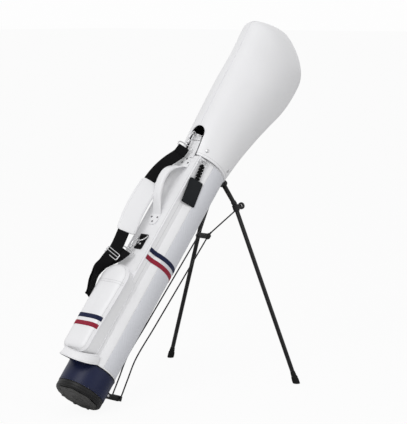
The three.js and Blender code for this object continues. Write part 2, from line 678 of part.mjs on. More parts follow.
function makeLegBracket() {
  const hug = TUBE_R + GAP;
  const outer = hug + BRACKET_WALL;
  const outline = new THREE.Shape();
  outline.absarc(0, 0, outer, -BRACKET_REACH, BRACKET_REACH, false);
  outline.absarc(0, 0, hug, BRACKET_REACH, -BRACKET_REACH, true);
  outline.closePath();
  const low = HINGE_Z - 22;
  const high = HINGE_Z + 16;
  const depth = high - low;
  const plate = new THREE.ExtrudeGeometry(outline, { depth, bevelEnabled: false, curveSegments: 12 });
  let bracket = solid(plate.translate(0, 0, low));
  const tube = solid(ring(0.1, hug, low - 20, high + 20));
  for (const sign of [-1, 1]) {
    const { hinge, axle } = legLine(sign);
    for (const side of [-1, 1]) {
      const middle = hinge.clone().addScaledVector(axle, side * 10.4);
      const from = middle.clone().addScaledVector(axle, -1.9);
      const to = middle.clone().addScaledVector(axle, 1.9);
      const inward = at(-11, -sign * 3, 0);
      const ear = solid(bar(from, to, 8));
      const root = solid(bar(from.clone().add(inward), to.clone().add(inward), 9));
      const neck = ear.add(root);
      bracket = bracket.add(neck.subtract(tube));
    }
  }
  for (const sign of [-1, 1]) {
    const { hinge, axle } = legLine(sign);
    const bore = bar(
      hinge.clone().addScaledVector(axle, -20),
      hinge.clone().addScaledVector(axle, 20),
      PIN_R + PIN_PLAY,
    );
    const room = bar(
      hinge.clone().addScaledVector(axle, -8.2),
      hinge.clone().addScaledVector(axle, 8.2),
      10.5,
    );
    bracket = bracket.subtract(solid(bore)).subtract(solid(room));
  }
  add("leg_bracket", bracket, BLACK_PLASTIC);
}

function makeLeg(side, sign) {
  const { hinge, elbow, foot, along, axle, outward } = legLine(sign);

  const pin = bar(
    hinge.clone().addScaledVector(axle, -14),
    hinge.clone().addScaledVector(axle, 14),
    PIN_R,
  );
  add(`leg_pin_${side}`, pin, STEEL);

  const barrel = bar(
    hinge.clone().addScaledVector(axle, -7.6),
    hinge.clone().addScaledVector(axle, 7.6),
    7.6,
  );
  const stub = bar(hinge, elbow, 7, LEG_R);
  const bore = bar(
    hinge.clone().addScaledVector(axle, -20),
    hinge.clone().addScaledVector(axle, 20),
    PIN_R + PIN_PLAY,
  );
  add(`leg_knuckle_${side}`, solid(barrel).add(solid(stub)).subtract(solid(bore)), BLACK_PLASTIC);

  const bend = elbow.clone().sub(hinge).angleTo(along);
  const top = elbow.clone().addScaledVector(along, GAP + LEG_R * Math.tan(bend));
  const ankle = foot.clone().addScaledVector(along, -FOOT_LENGTH);
  add(`leg_tube_${side}`, bar(top, ankle, LEG_R, LEG_R, 14), BLACK_METAL);

  // A sleeve on the leg carries the ear that the push rod works on.
  const sleeveTop = top.clone().addScaledVector(along, SLEEVE_START);
  const sleeveLow = sleeveTop.clone().addScaledVector(along, SLEEVE_LENGTH);
  const inner = LEG_R + GAP;
  const sleeve = solid(bar(sleeveTop, sleeveLow, inner + SLEEVE_WALL));
  const middle = sleeveTop.clone().lerp(sleeveLow, 0.42);
  const ear = middle.clone().addScaledVector(outward, EAR_OFFSET);
  const half = EAR_THICK / 2;
  const disc = solid(bar(
    ear.clone().addScaledVector(axle, -half),
    ear.clone().addScaledVector(axle, half),
    EAR_R,
    EAR_R,
    16,
  ));
  const web = solid(slab(middle.clone().addScaledVector(outward, 10), outward, along, 14, 12, 1, EAR_THICK));
  const hole = solid(bar(
    ear.clone().addScaledVector(axle, -10),
    ear.clone().addScaledVector(axle, 10),
    EAR_HOLE_R,
  ));
  const room = solid(bar(
    sleeveTop.clone().addScaledVector(along, -10),
    sleeveLow.clone().addScaledVector(along, 10),
    inner,
  ));
  add(`leg_clip_${side}`, sleeve.add(disc).add(web).subtract(hole).subtract(room), BLACK_PLASTIC);

  // The rubber foot is cut off level with the floor.
  const footTop = ankle.clone().addScaledVector(along, GAP);
  const flare = foot.clone().addScaledVector(along, -10);
  const past = foot.clone().addScaledVector(along, 16);
  const shape = solid(bar(footTop, flare, LEG_R + 1.4, FOOT_R)).add(solid(bar(flare, past, FOOT_R, FOOT_R)));
  const floor = box(at(-3000, -3000, -200), at(3000, 3000, 0)).applyMatrix4(bag.matrixWorld.clone().invert());
  add(`leg_foot_${side}`, shape.subtract(solid(floor)), RUBBER);
  return ear;
}

function makeLever() {
  // The hinge block on the back of the base, with two ears for the lever.
  const hug = TUBE_R + 2 * GAP + BAND_THICK;
  const back = box(at(hug - 6, -20, LEVER_PIVOT.z - 18), at(hug + 5, 20, LEVER_PIVOT.z + 9));
  const around = ring(0.1, hug, -50, 300);
  let bracket = solid(back);
  for (const sign of [-1, 1]) {
    const inside = sign * (LEVER_HALF + 0.6);
    const outside = sign * (LEVER_HALF + 5);
    const end = LEVER_PIVOT.clone();
    const ear = bar(end.clone().setY(inside), end.clone().setY(outside), 9);
    const root = box(
      at(hug, Math.min(inside, outside), end.z - 9),
      at(end.x, Math.max(inside, outside), end.z + 9),
    );
    bracket = bracket.add(solid(ear)).add(solid(root));
  }
  const roomHalf = LEVER_HALF + 0.6;
  const room = bar(LEVER_PIVOT.clone().setY(-roomHalf), LEVER_PIVOT.clone().setY(roomHalf), 9.6);
  const bore = bar(LEVER_PIVOT.clone().setY(-30), LEVER_PIVOT.clone().setY(30), PIN_R + PIN_PLAY);
  bracket = bracket.subtract(solid(around)).subtract(solid(room)).subtract(solid(bore));
  add("lever_bracket", bracket, BLACK_PLASTIC);
  const pinHalf = LEVER_HALF + 5.4;
  add("lever_pin", bar(LEVER_PIVOT.clone().setY(-pinHalf), LEVER_PIVOT.clone().setY(pinHalf), PIN_R), STEEL);

  const barrel = bar(LEVER_PIVOT.clone().setY(-LEVER_HALF), LEVER_PIVOT.clone().setY(LEVER_HALF), 8);
  const toe = bar(LEVER_TIP.clone().setY(-LEVER_HALF), LEVER_TIP.clone().setY(LEVER_HALF), LEVER_TIP_R);
  const arm = LEVER_TIP.clone().sub(LEVER_PIVOT).normalize();
  const up = arm.clone().cross(at(0, 1, 0)).normalize();
  const armMiddle = LEVER_PIVOT.clone().lerp(LEVER_TIP, 0.5);
  const armLength = LEVER_PIVOT.distanceTo(LEVER_TIP);
  const plate = loft([-LEVER_HALF, LEVER_HALF].map((y) =>
    roundedSection(armMiddle.clone().setY(y), arm, up, armLength, 12, 1)));
  const socket = bar(LEVER_TIP.clone().setY(-40), LEVER_TIP.clone().setY(40), ROD_R + PIN_PLAY);
  const bored = solid(bar(LEVER_PIVOT.clone().setY(-40), LEVER_PIVOT.clone().setY(40), PIN_R + PIN_PLAY));
  const lever = solid(barrel).add(solid(toe)).add(solid(plate)).subtract(solid(socket)).subtract(bored);
  add("foot_lever", lever, BLACK_PLASTIC);
}

// The push rods: one spring-wire side each, tied by a bridge, with a tip up to each leg.
function makePushRods(ears) {
  for (const [side, sign] of SIDES) {
    const low = LEVER_TIP.clone().setY(sign * (ROD_Y + 0.6));
    const bend = ROD_BEND.clone().setY(sign * (ROD_Y + 1));
    const high = BRIDGE.clone().setY(sign * BRIDGE_Y);
    const hooked = bar(low.clone().setY(sign * (LEVER_HALF - 6)), low, ROD_R, ROD_R, 8);
    const shank = bar(low, bend, ROD_R, ROD_R, 8);
    const shaft = bar(bend, high, ROD_R, ROD_R, 8);
    const ball = (p) => solid(new THREE.SphereGeometry(ROD_R, 8, 6).translate(p.x, p.y, p.z));
    const knees = [low, bend].map(ball);
    const rod = solid(hooked).add(solid(shank)).add(solid(shaft)).add(knees[0]).add(knees[1]);
    add(`push_rod_${side}`, rod, BLACK_METAL);
  }
  const run = BRIDGE.clone().sub(ROD_BEND).normalize();
  const out = at(0, 1, 0).cross(run).normalize();
  const middle = BRIDGE.clone().addScaledVector(run, 6 + GAP);
  const bridge = slab(middle, at(0, 1, 0), run, 2 * BRIDGE_Y + 9, 11, 3, 8);
  add("rod_bridge", bridge, BLACK_PLASTIC);

  for (const [side, sign] of SIDES) {
    const { axle } = legLine(sign);
    const ear = ears[side];
    const from = BRIDGE.clone().addScaledVector(run, 12 + 2 * GAP + ROD_R).setY(sign * BRIDGE_Y);
    const inner = ear.clone().addScaledVector(axle, -(EAR_THICK / 2 + ROD_R + ROD_PLAY));
    const shaft = solid(bar(from, inner, ROD_R, ROD_R, 8));
    const eyeFrom = ear.clone().addScaledVector(axle, -(EAR_THICK / 2 + ROD_PLAY));
    const eyeTo = eyeFrom.clone().addScaledVector(axle, -2 * ROD_R);
    const eye = solid(bar(eyeFrom, eyeTo, 5));
    const knee = solid(new THREE.SphereGeometry(ROD_R, 8, 6).translate(from.x, from.y, from.z));
    const face = solid(bar(eyeFrom, eyeFrom.clone().addScaledVector(axle, 20), 20));
    add(`rod_tip_${side}`, shaft.add(eye).add(knee).subtract(face), BLACK_METAL);
  }
}

// ---------------------------------------------------------------- hood

// Sections of the hood: its height above the rim, then how far it stands beyond the spine panel's
// face, the tube's back and the tube's sides.
const HOOD_SECTIONS = [
  [4, 9, 3.1, 4.8],
  [40, 18, 9, 8],
  [96, 25, 19, 10],
  [176, 30, 39, 14],
  [258, 34, 63, 17],
  [326, 37, 85, 18],
  [376, 39, 94, 17],
  [426, 43, 96, 15],
  [452, 47, 95, 12],
  [468, 47, 89, 8],
  [483, 34, 74, 2],
  [496, 15, 59, -7],
  [511, -11, 40, -20],
  [526, -42, 17, -35],
  [538, -71, -1, -48],
  [545, -93, -15, -58],
];

const HOOD_SIDES = 28;
const HOOD_CROWN = 6; // this many sections, from the top, close over as the crown

// A point round one section, with the cloth's thickness taken off when inset is given.
function hoodPoint([rise, front, back, half], angle, inset = 0) {
  const most = TUBE_R + back;
  const least = -(PANEL_FRONT + front);
  const reach = Math.max((most - least) / 2 - inset, 1);
  const width = Math.max(TUBE_R + half - inset, 1);
  return at((most + least) / 2 + reach * Math.cos(angle), width * Math.sin(angle), RIM_Z + rise);
}

function hoodShape(inset, lift) {
  return loft(HOOD_SECTIONS.map((section, i) => {
    const crown = i >= HOOD_SECTIONS.length - HOOD_CROWN ? inset : 0;
    const drop = crown + (i ? 0 : lift);
    const points = [];
    for (let k = 0; k < HOOD_SIDES; k++) {
      points.push(hoodPoint(section, (k * 2 * Math.PI) / HOOD_SIDES, inset).add(at(0, 0, -drop)));
    }
    return points;
  }));
}

function makeHood() {
  const outer = solid(hoodShape(0, 0));
  const inner = solid(hoodShape(HOOD_WALL, 30));
  const straight = HOOD_ARCH_Z - HOOD_ARCH_HALF;
  const arch = new THREE.Shape();
  arch.moveTo(-HOOD_ARCH_HALF, RIM_Z - 60);
  arch.lineTo(HOOD_ARCH_HALF, RIM_Z - 60);
  arch.absarc(0, straight, HOOD_ARCH_HALF, 0, Math.PI, false);
  arch.closePath();
  const window = new THREE.ExtrudeGeometry(arch, { depth: 120, bevelEnabled: false, curveSegments: 12 });
  window.rotateX(Math.PI / 2).rotateZ(Math.PI / 2).translate(-160, 0, 0);
  const notch = box(at(40, -HOOD_NOTCH_HALF, RIM_Z - 60), at(200, HOOD_NOTCH_HALF, HOOD_NOTCH_Z));
  const hood = outer.subtract(inner).subtract(solid(window)).subtract(solid(notch));
  add("hood_shell", hood, WHITE_LEATHER);

  // Press studs hold the hem to the collar.
  const [hem, next] = HOOD_SECTIONS;
  STUD_ANGLES.forEach((degrees, i) => {
    const angle = THREE.MathUtils.degToRad(degrees);
    const low = hoodPoint(hem, angle);
    const high = hoodPoint(next, angle);
    const round = hoodPoint(hem, angle + 0.01).sub(low);
    const normal = round.cross(high.clone().sub(low)).normalize();
    const from = low.lerp(high, 0.55).addScaledVector(normal, GAP);
    const to = from.clone().addScaledVector(normal, STUD_HEIGHT);
    add(`hood_stud_${i + 1}`, bar(from, to, STUD_R, STUD_R * 0.7, 14), STEEL);
  });
}

// ---------------------------------------------------------------- assembly

makeTube();
makeRim();
makeBase();
makePocket();
makeHandle();
makeGrabLoop();
makeRings();
makeHooks();
makeTag();
makeLegBracket();
const ears = Object.fromEntries(SIDES.map(([side, sign]) => [side, makeLeg(side, sign)]));
makeLever();
makePushRods(ears);
makeHood();

// The origin is on the floor, below the middle of the whole bag.
const group = new THREE.Group();
group.add(bag);
const whole = new THREE.Box3().setFromObject(group, true);
bag.position.x -= (whole.min.x + whole.max.x) / 2;

export default group;
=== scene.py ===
# %% [markdown]
# # A slim golf stand bag
# The bag is a stiff tube covered in white synthetic leather. It leans back on two opened legs, and a soft
# hood covers the club heads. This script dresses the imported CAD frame: every visible piece is built again as
# a detailed mesh and rides on the same body, so that each joint still works. The CAD is drawn along the bag's
# own axis. The cell below repeats that axis, so that a place on the bag can be written as (e, y, l): e is
# towards the back of the bag, y is sideways, and l runs up the tube, in millimetres.

# %% Load the frame
import math
import bpy
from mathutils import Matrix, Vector, noise


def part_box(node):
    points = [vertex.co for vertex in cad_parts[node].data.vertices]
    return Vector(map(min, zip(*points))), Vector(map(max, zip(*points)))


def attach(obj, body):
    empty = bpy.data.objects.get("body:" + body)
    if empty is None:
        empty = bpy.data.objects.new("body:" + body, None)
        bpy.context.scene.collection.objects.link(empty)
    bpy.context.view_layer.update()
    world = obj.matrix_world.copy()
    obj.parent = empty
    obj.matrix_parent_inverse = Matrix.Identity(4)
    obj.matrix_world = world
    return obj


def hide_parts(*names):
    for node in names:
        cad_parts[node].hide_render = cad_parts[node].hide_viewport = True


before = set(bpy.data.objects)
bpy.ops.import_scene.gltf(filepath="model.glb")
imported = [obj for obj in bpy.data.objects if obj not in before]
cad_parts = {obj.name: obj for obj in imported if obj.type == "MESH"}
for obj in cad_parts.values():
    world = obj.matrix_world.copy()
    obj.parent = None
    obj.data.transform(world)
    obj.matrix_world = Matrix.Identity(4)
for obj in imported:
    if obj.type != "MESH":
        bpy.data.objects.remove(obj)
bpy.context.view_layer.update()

LEAN = math.radians(41.9)
RIM = 774.0
BASE_HEIGHT = 19.0
BASE_EDGE_R = 65.0
TUBE_R = 67.0
shell_low, shell_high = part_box("body_shell")
tube_middle = (BASE_HEIGHT + 0.3 + RIM) / 2
X0 = 500 * (shell_low[0] + shell_high[0]) - tube_middle * math.sin(LEAN)
Z0 = BASE_EDGE_R * math.sin(LEAN)


def way(e, y, l):
    """A direction in the bag's own axes, turned into the row frame."""
    return Vector((e * math.cos(LEAN) + l * math.sin(LEAN), y, l * math.cos(LEAN) - e * math.sin(LEAN)))


def place(e, y, l):
    """A place on the bag, in millimetres in its own axes, as a point of the row frame in metres."""
    return (way(e, y, l) + Vector((X0, 0, Z0))) / 1000


def places(points):
    return [place(*p) for p in points]


print("tube foot in the row frame:", place(0, 0, 0)[:])

# %% [markdown]
# ## Mesh helpers
# Almost every piece here is a section carried along a line: a tube, a strap, a hood. One loft function makes
# them all, and writes a UV map in metres (across the section, along the line), which the woven materials
# need.

# %% Objects, lofts and sweeps
def make_piece(name, verts, faces, materials, uvs=None, face_materials=None, sharp=38):
    mesh = bpy.data.meshes.new(name)
    mesh.from_pydata([tuple(v) for v in verts], [], faces)
    for material in materials:
        mesh.materials.append(material)
    if uvs:
        layer = mesh.uv_layers.new(name="UVMap")
        flat = [c for face in uvs for uv in face for c in uv]
        layer.data.foreach_set("uv", flat)
    if face_materials:
        mesh.polygons.foreach_set("material_index", face_materials)
    mesh.polygons.foreach_set("use_smooth", [True] * len(mesh.polygons))
    mesh.set_sharp_from_angle(angle=math.radians(sharp))
    mesh.update()
    piece = bpy.data.objects.new(name, mesh)
    bpy.context.scene.collection.objects.link(piece)
    return piece


def loft(rings, closed=False, caps=True):
    """Vertices, faces and UVs of rings of equal count, skinned in turn."""
    count = len(rings[0])
    verts = [v for ring in rings for v in ring]
    run = [0.0]
    for before, after in zip(rings, rings[1:] + rings[:1]):
        run.append(run[-1] + (after[0] - before[0]).length)
    girth = [0.0]
    for j in range(count):
        girth.append(girth[-1] + (rings[0][(j + 1) % count] - rings[0][j]).length)
    faces, uvs = [], []
    for i in range(len(rings) if closed else len(rings) - 1):
        n = (i + 1) % len(rings)
        for j in range(count):
            k = (j + 1) % count
            faces.append((i * count + j, i * count + k, n * count + k, n * count + j))
            uvs.append(((girth[j], run[i]), (girth[j + 1], run[i]), (girth[j + 1], run[i + 1]),
                        (girth[j], run[i + 1])))
    if caps and not closed:
        for start, turn in ((0, -1), ((len(rings) - 1) * count, 1)):
            ring = list(range(start, start + count))[::turn]
            faces.append(tuple(ring))
            uvs.append(tuple((0.001 * j, 0.0) for j in range(count)))
    return verts, faces, uvs


def facing_out(verts, faces, uvs):
    """Turns a closed shape's faces outwards, by the sign of its volume."""
    volume = 0.0
    for face in faces:
        for b, c in zip(face[1:], face[2:]):
            volume += verts[face[0]].dot(verts[b].cross(verts[c]))
    if volume < 0:
        faces = [face[::-1] for face in faces]
        uvs = [uv[::-1] for uv in uvs]
    return verts, faces, uvs


def smooth_line(points, per_span=8, closed=False):
    """A centripetal Catmull-Rom line through the points."""
    count = len(points)
    spans = count if closed else count - 1
    if closed:
        padded = [points[-1]] + list(points) + [points[0], points[1]]
    else:
        padded = [2 * points[0] - points[1]] + list(points) + [2 * points[-1] - points[-2]]
    line = []
    for i in range(spans):
        p0, p1, p2, p3 = padded[i:i + 4]
        d1 = max((p1 - p0).length ** 0.5, 1e-5)
        d2 = max((p2 - p1).length ** 0.5, 1e-5)
        d3 = max((p3 - p2).length ** 0.5, 1e-5)
        m1 = (p1 - p0) / d1 - (p2 - p0) / (d1 + d2) + (p2 - p1) / d2
        m2 = (p2 - p1) / d2 - (p3 - p1) / (d2 + d3) + (p3 - p2) / d3
        m1, m2 = m1 * d2, m2 * d2
        for k in range(per_span):
            t = k / per_span
            a = 2 * t ** 3 - 3 * t ** 2 + 1
            b = t ** 3 - 2 * t ** 2 + t
            c = -2 * t ** 3 + 3 * t ** 2
            d = t ** 3 - t ** 2
            line.append(a * p1 + b * m1 + c * p2 + d * m2)
    if not closed:
        line.append(points[-1].copy())
    return line


def tangents(line, closed=False):
    last = len(line) - 1
    found = []
    for i in range(len(line)):
        before = line[i - 1] if i or closed else line[0]
        after = line[(i + 1) % len(line)] if i < last or closed else line[last]
        found.append((after - before).normalized())
    return found


def round_section(radius, sides=16):
    return [(radius * math.cos(2 * math.pi * k / sides), radius * math.sin(2 * math.pi * k / sides))
            for k in range(sides)]


def flat_section(width, height, radius, corner=5):
    """A rectangle with rounded corners."""
    points = []
    for index, (sx, sy) in enumerate(((1, 1), (-1, 1), (-1, -1), (1, -1))):
        for k in range(corner):
            angle = (index + k / (corner - 1)) * math.pi / 2
            x = sx * (width / 2 - radius) + radius * math.cos(angle)
            y = sy * (height / 2 - radius) + radius * math.sin(angle)
            points.append((x, y))
    return points


def wire(line, radius, sides=12, closed=False):
    """A round wire along a line of points; radius is in metres."""
    ways = tangents(line, closed)
    up = ways[0].orthogonal().normalized()
    section = round_section(radius, sides)
    frames = []
    for t in ways:
        up = (up - t * up.dot(t)).normalized()
        frames.append((t.cross(up), up))
    twist = 0.0
    if closed:
        side, first = frames[0]
        last = (frames[-1][1] - ways[0] * frames[-1][1].dot(ways[0])).normalized()
        twist = math.atan2(last.dot(side), last.dot(first))
    rings = []
    for i, (point, (side, up)) in enumerate(zip(line, frames)):
        angle = twist * i / len(line)
        ca, sa = math.cos(angle), math.sin(angle)
        rings.append([point + side * (x * ca - y * sa) + up * (x * sa + y * ca) for x, y in section])
    return facing_out(*loft(rings, closed=closed))


def band(line, across, width, thickness, radius=None, corner=4, swell=None):
    """A flat band along a line; across gives the direction of its width at each point. Sizes in metres."""
    ways = tangents(line)
    rings = []
    for i, (point, t) in enumerate(zip(line, ways)):
        up = t.cross(across[i]).normalized()
        side = up.cross(t).normalized()
        w, h = (width, thickness) if swell is None else swell(i / (len(line) - 1), width, thickness)
        r = min(radius or thickness / 2.2, w / 2.05, h / 2.05)
        rings.append([point + side * x + up * y for x, y in flat_section(w, h, r, corner)])
    return facing_out(*loft(rings))


def turned(profile, sides=96, closed=False):
    """A surface of revolution about the bag's axis, from (radius, height) pairs in millimetres."""
    rings = []
    for r, l in profile:
        r = max(r, 0.02)
        rings.append([place(r * math.cos(a), r * math.sin(a), l)
                      for a in (2 * math.pi * k / sides for k in range(sides))])
    return facing_out(*loft(rings, closed=closed))


def barrel(start, end, radius, sides=28, edge=0.0006, end_radius=None):
    """A cylinder or cone between two points, with its edges broken. Sizes in metres."""
    axis = (end - start).normalized()
    length = (end - start).length
    side = axis.orthogonal().normalized()
    up = axis.cross(side)
    far = radius if end_radius is None else end_radius
    edge = min(edge, length / 3, radius / 2, far / 2)
    stations = [(0, radius - edge), (edge * 0.3, radius - edge * 0.3), (edge, radius),
                (length - edge, far), (length - edge * 0.3, far - edge * 0.3), (length, far - edge)]
    rings = [[start + axis * d + side * x + up * y for x, y in round_section(r, sides)] for d, r in stations]
    return facing_out(*loft(rings))


def barrel_along(middle, axis, start, end, radius, sides, **more):
    """A barrel along an axis through a middle point; start and end are millimetres along that axis."""
    return barrel(place(*(middle + axis * start)), place(*(middle + axis * end)), radius, sides, **more)


def slab(middle, across, up, width, height, thickness, corner_r, edge=0.0005, corner=6):
    """A rounded plate with softened edges. Sizes in metres."""
    normal = across.cross(up).normalized()
    rings = []
    for d, inset in ((-0.5, edge), (-0.5 + edge * 0.3 / thickness, edge * 0.3), (-0.5 + edge / thickness, 0),
                     (0.5 - edge / thickness, 0), (0.5 - edge * 0.3 / thickness, edge * 0.3), (0.5, edge)):
        section = flat_section(width - 2 * inset, height - 2 * inset, max(corner_r - inset, 0.0002), corner)
        rings.append([middle + normal * (d * thickness) + across * x + up * y for x, y in section])
    return facing_out(*loft(rings))


def joined(*parts):
    """Several shapes as one set of vertices, faces and UVs."""
    verts, faces, uvs = [], [], []
    for v, f, u in parts:
        start = len(verts)
        verts += v
        faces += [tuple(i + start for i in face) for face in f]
        uvs += u
    return verts, faces, uvs


def add(name, shape, material, body="bag", replaces=(), sharp=38):
    """Makes a piece, hides the CAD nodes that it stands for, and hangs it on its body."""
    verts, faces, uvs = shape
    piece = make_piece(name, verts, faces, [material], uvs, sharp=sharp)
    settle(piece, body, replaces)
    return piece


def settle(piece, body, replaces=()):
    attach(piece, body)
    if replaces:
        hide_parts(*replaces)


print("helpers ready")

# %% [markdown]
# ## Materials
# Each finish is a small node tree. Leather is a fine pebble grain (Voronoi cells) with broad, faint changes
# of tone; webbing is woven from two crossed waves on its UV map; moulded plastic has a sparkle-eroded skin;
# plated metal is smooth with faint smears. The patterns read Object coordinates, so they stay with each
# piece.

# %% Material builder
def new_material(name, colour, roughness, metallic=0.0):
    material = bpy.data.materials.new(name)
    material.use_nodes = True
    nodes = material.node_tree.nodes
    shader = nodes["Principled BSDF"]
    shader.inputs["Base Color"].default_value = (*colour, 1)
    shader.inputs["Roughness"].default_value = roughness
    shader.inputs["Metallic"].default_value = metallic
    return material, nodes, material.node_tree.links, shader


def tone(nodes, links, shader, colour, spread, scale, detail=4.0):
    """Broad, faint changes of colour."""
    where = nodes.new("ShaderNodeTexCoord")
    cloud = nodes.new("ShaderNodeTexNoise")
    cloud.inputs["Scale"].default_value = scale
    cloud.inputs["Detail"].default_value = detail
    ramp = nodes.new("ShaderNodeValToRGB")
    ramp.color_ramp.elements[0].position = 0.3
    ramp.color_ramp.elements[1].position = 0.7
    ramp.color_ramp.elements[0].color = (*[c * (1 - spread) for c in colour], 1)
    ramp.color_ramp.elements[1].color = (*[min(c * (1 + spread), 1) for c in colour], 1)
    links.new(where.outputs["Object"], cloud.inputs["Vector"])
    links.new(cloud.outputs["Fac"], ramp.inputs["Fac"])
    links.new(ramp.outputs["Color"], shader.inputs["Base Color"])
    return where, cloud


def rough(nodes, links, shader, where, low, high, scale):
    """Roughness that wanders between two values."""
    cloud = nodes.new("ShaderNodeTexNoise")
    cloud.inputs["Scale"].default_value = scale
    spread = nodes.new("ShaderNodeMapRange")
    spread.inputs["To Min"].default_value = low
    spread.inputs["To Max"].default_value = high
    links.new(where.outputs["Object"], cloud.inputs["Vector"])
    links.new(cloud.outputs["Fac"], spread.inputs["Value"])
    links.new(spread.outputs["Result"], shader.inputs["Roughness"])


def relief(nodes, links, shader, height, distance, strength=1.0, under=None):
    bump = nodes.new("ShaderNodeBump")
    bump.inputs["Distance"].default_value = distance
    bump.inputs["Strength"].default_value = strength
    links.new(height, bump.inputs["Height"])
    if under:
        links.new(under.outputs["Normal"], bump.inputs["Normal"])
    links.new(bump.outputs["Normal"], shader.inputs["Normal"])
    return bump


# %% Leather, lining and thread
def leather(name, colour, low, high, grain=0.00012, cell=750, spread=0.02):
    material, nodes, links, shader = new_material(name, colour, low)
    where, _ = tone(nodes, links, shader, colour, spread, 6)
    rough(nodes, links, shader, where, low, high, 22)
    creases = nodes.new("ShaderNodeTexNoise")
    creases.inputs["Scale"].default_value = 34
    creases.inputs["Detail"].default_value = 5
    links.new(where.outputs["Object"], creases.inputs["Vector"])
    soft = relief(nodes, links, shader, creases.outputs["Fac"], 0.0011, 0.35)
    pebble = nodes.new("ShaderNodeTexVoronoi")
    pebble.inputs["Scale"].default_value = cell
    links.new(where.outputs["Object"], pebble.inputs["Vector"])
    relief(nodes, links, shader, pebble.outputs["Distance"], grain, 0.5, soft)
    shader.inputs["Coat Weight"].default_value = 0.12
    shader.inputs["Coat Roughness"].default_value = 0.3
    return material


def fleece(name, colour):
    material, nodes, links, shader = new_material(name, colour, 0.95)
    where, _ = tone(nodes, links, shader, colour, 0.3, 300)
    pile = nodes.new("ShaderNodeTexNoise")
    pile.inputs["Scale"].default_value = 900
    links.new(where.outputs["Object"], pile.inputs["Vector"])
    relief(nodes, links, shader, pile.outputs["Fac"], 0.0008, 0.7)
    shader.inputs["Sheen Weight"].default_value = 0.3
    return material


def woven(name, colour, rib=0.0011, sheen=0.25):
    """Webbing: ribs across the strap and yarns along it, from the UV map in metres."""
    material, nodes, links, shader = new_material(name, colour, 0.8)
    where = nodes.new("ShaderNodeTexCoord")
    waves = []
    for direction, width in (("Y", rib), ("X", rib * 1.6)):
        wave = nodes.new("ShaderNodeTexWave")
        wave.bands_direction = direction
        wave.inputs["Scale"].default_value = 0.314 / width
        wave.inputs["Distortion"].default_value = 0.4
        wave.inputs["Detail"].default_value = 1
        links.new(where.outputs["UV"], wave.inputs["Vector"])
        waves.append(wave)
    cross = nodes.new("ShaderNodeMath")
    cross.operation = "MULTIPLY"
    links.new(waves[0].outputs["Fac"], cross.inputs[0])
    links.new(waves[1].outputs["Fac"], cross.inputs[1])
    ramp = nodes.new("ShaderNodeValToRGB")
    ramp.color_ramp.elements[0].color = (*[c * 0.55 for c in colour], 1)
    ramp.color_ramp.elements[1].color = (*[c * 1.5 for c in colour], 1)
    links.new(cross.outputs["Value"], ramp.inputs["Fac"])
    links.new(ramp.outputs["Color"], shader.inputs["Base Color"])
    relief(nodes, links, shader, cross.outputs["Value"], 0.0004, 0.8)
    shader.inputs["Sheen Weight"].default_value = sheen
    return material


def dull(material, level):
    """Lowers a dark material's mirror share, so that a white room does not grey it."""
    shader = material.node_tree.nodes["Principled BSDF"]
    shader.inputs["Specular IOR Level"].default_value = level
    shader.inputs["Coat Weight"].default_value = 0.0
    return material


WHITE = (0.83, 0.83, 0.845)
NAVY = (0.006, 0.01, 0.04)
RED = (0.38, 0.022, 0.05)
white_leather = leather("white_leather", WHITE, 0.36, 0.5)
# The side panel's leather is greyer than the white leather: this grey is painted shade, for the back of the
# tube that faces away from the key lamp.
painted_shade_leather = leather("painted_shade_leather", (0.66, 0.67, 0.71), 0.38, 0.52)
white_piping = leather("white_piping", (0.8, 0.8, 0.82), 0.34, 0.44, grain=0.00006, cell=1100)
navy_leather = dull(leather("navy_leather", NAVY, 0.3, 0.42, spread=0.08), 0.22)
navy_tape = dull(woven("navy_tape", (0.01, 0.016, 0.06), rib=0.0009, sheen=0.05), 0.2)
red_tape = dull(woven("red_tape", RED, rib=0.0009, sheen=0.05), 0.2)
black_lining = dull(fleece("black_lining", (0.005, 0.005, 0.0055)), 0.1)
black_webbing = dull(woven("black_webbing", (0.005, 0.005, 0.0055), sheen=0.02), 0.1)
white_thread = woven("white_thread", (0.72, 0.72, 0.74), rib=0.0005, sheen=0.1)
black_thread = woven("black_thread", (0.02, 0.02, 0.022), rib=0.0005, sheen=0.1)
print("leathers, tapes, webbing and threads")


# %% Plastic, rubber and metal
def moulded(name, colour, low, high, skin=0.00008):
    material, nodes, links, shader = new_material(name, colour, low)
    where, _ = tone(nodes, links, shader, colour, 0.12, 25)
    rough(nodes, links, shader, where, low, high, 60)
    spark = nodes.new("ShaderNodeTexNoise")
    spark.inputs["Scale"].default_value = 2600
    spark.inputs["Detail"].default_value = 2
    links.new(where.outputs["Object"], spark.inputs["Vector"])
    relief(nodes, links, shader, spark.outputs["Fac"], skin, 0.5)
    return material


def coated_metal(name, colour, metallic, low, high):
    material, nodes, links, shader = new_material(name, colour, low, metallic)
    where, _ = tone(nodes, links, shader, colour, 0.06, 40)
    rough(nodes, links, shader, where, low, high, 90)
    smear = nodes.new("ShaderNodeTexNoise")
    smear.inputs["Scale"].default_value = 240
    links.new(where.outputs["Object"], smear.inputs["Vector"])
    relief(nodes, links, shader, smear.outputs["Fac"], 0.00006, 0.25)
    return material


black_plastic = dull(moulded("black_plastic", (0.006, 0.006, 0.0065), 0.34, 0.5), 0.25)
grey_plastic = dull(moulded("grey_plastic", (0.058, 0.057, 0.056), 0.5, 0.68), 0.3)
tag_plastic = dull(moulded("tag_plastic", (0.004, 0.0055, 0.0075), 0.28, 0.4, skin=0.00005), 0.15)
rubber = dull(moulded("rubber", (0.008, 0.008, 0.008), 0.68, 0.85, skin=0.00018), 0.15)
nickel = coated_metal("nickel", (0.56, 0.56, 0.57), 1.0, 0.18, 0.28)
dark_nickel = coated_metal("dark_nickel", (0.14, 0.14, 0.145), 0.9, 0.25, 0.38)
black_coat = dull(coated_metal("black_coat", (0.006, 0.006, 0.0065), 0.0, 0.26, 0.38), 0.25)
print("plastics, rubber and metals")

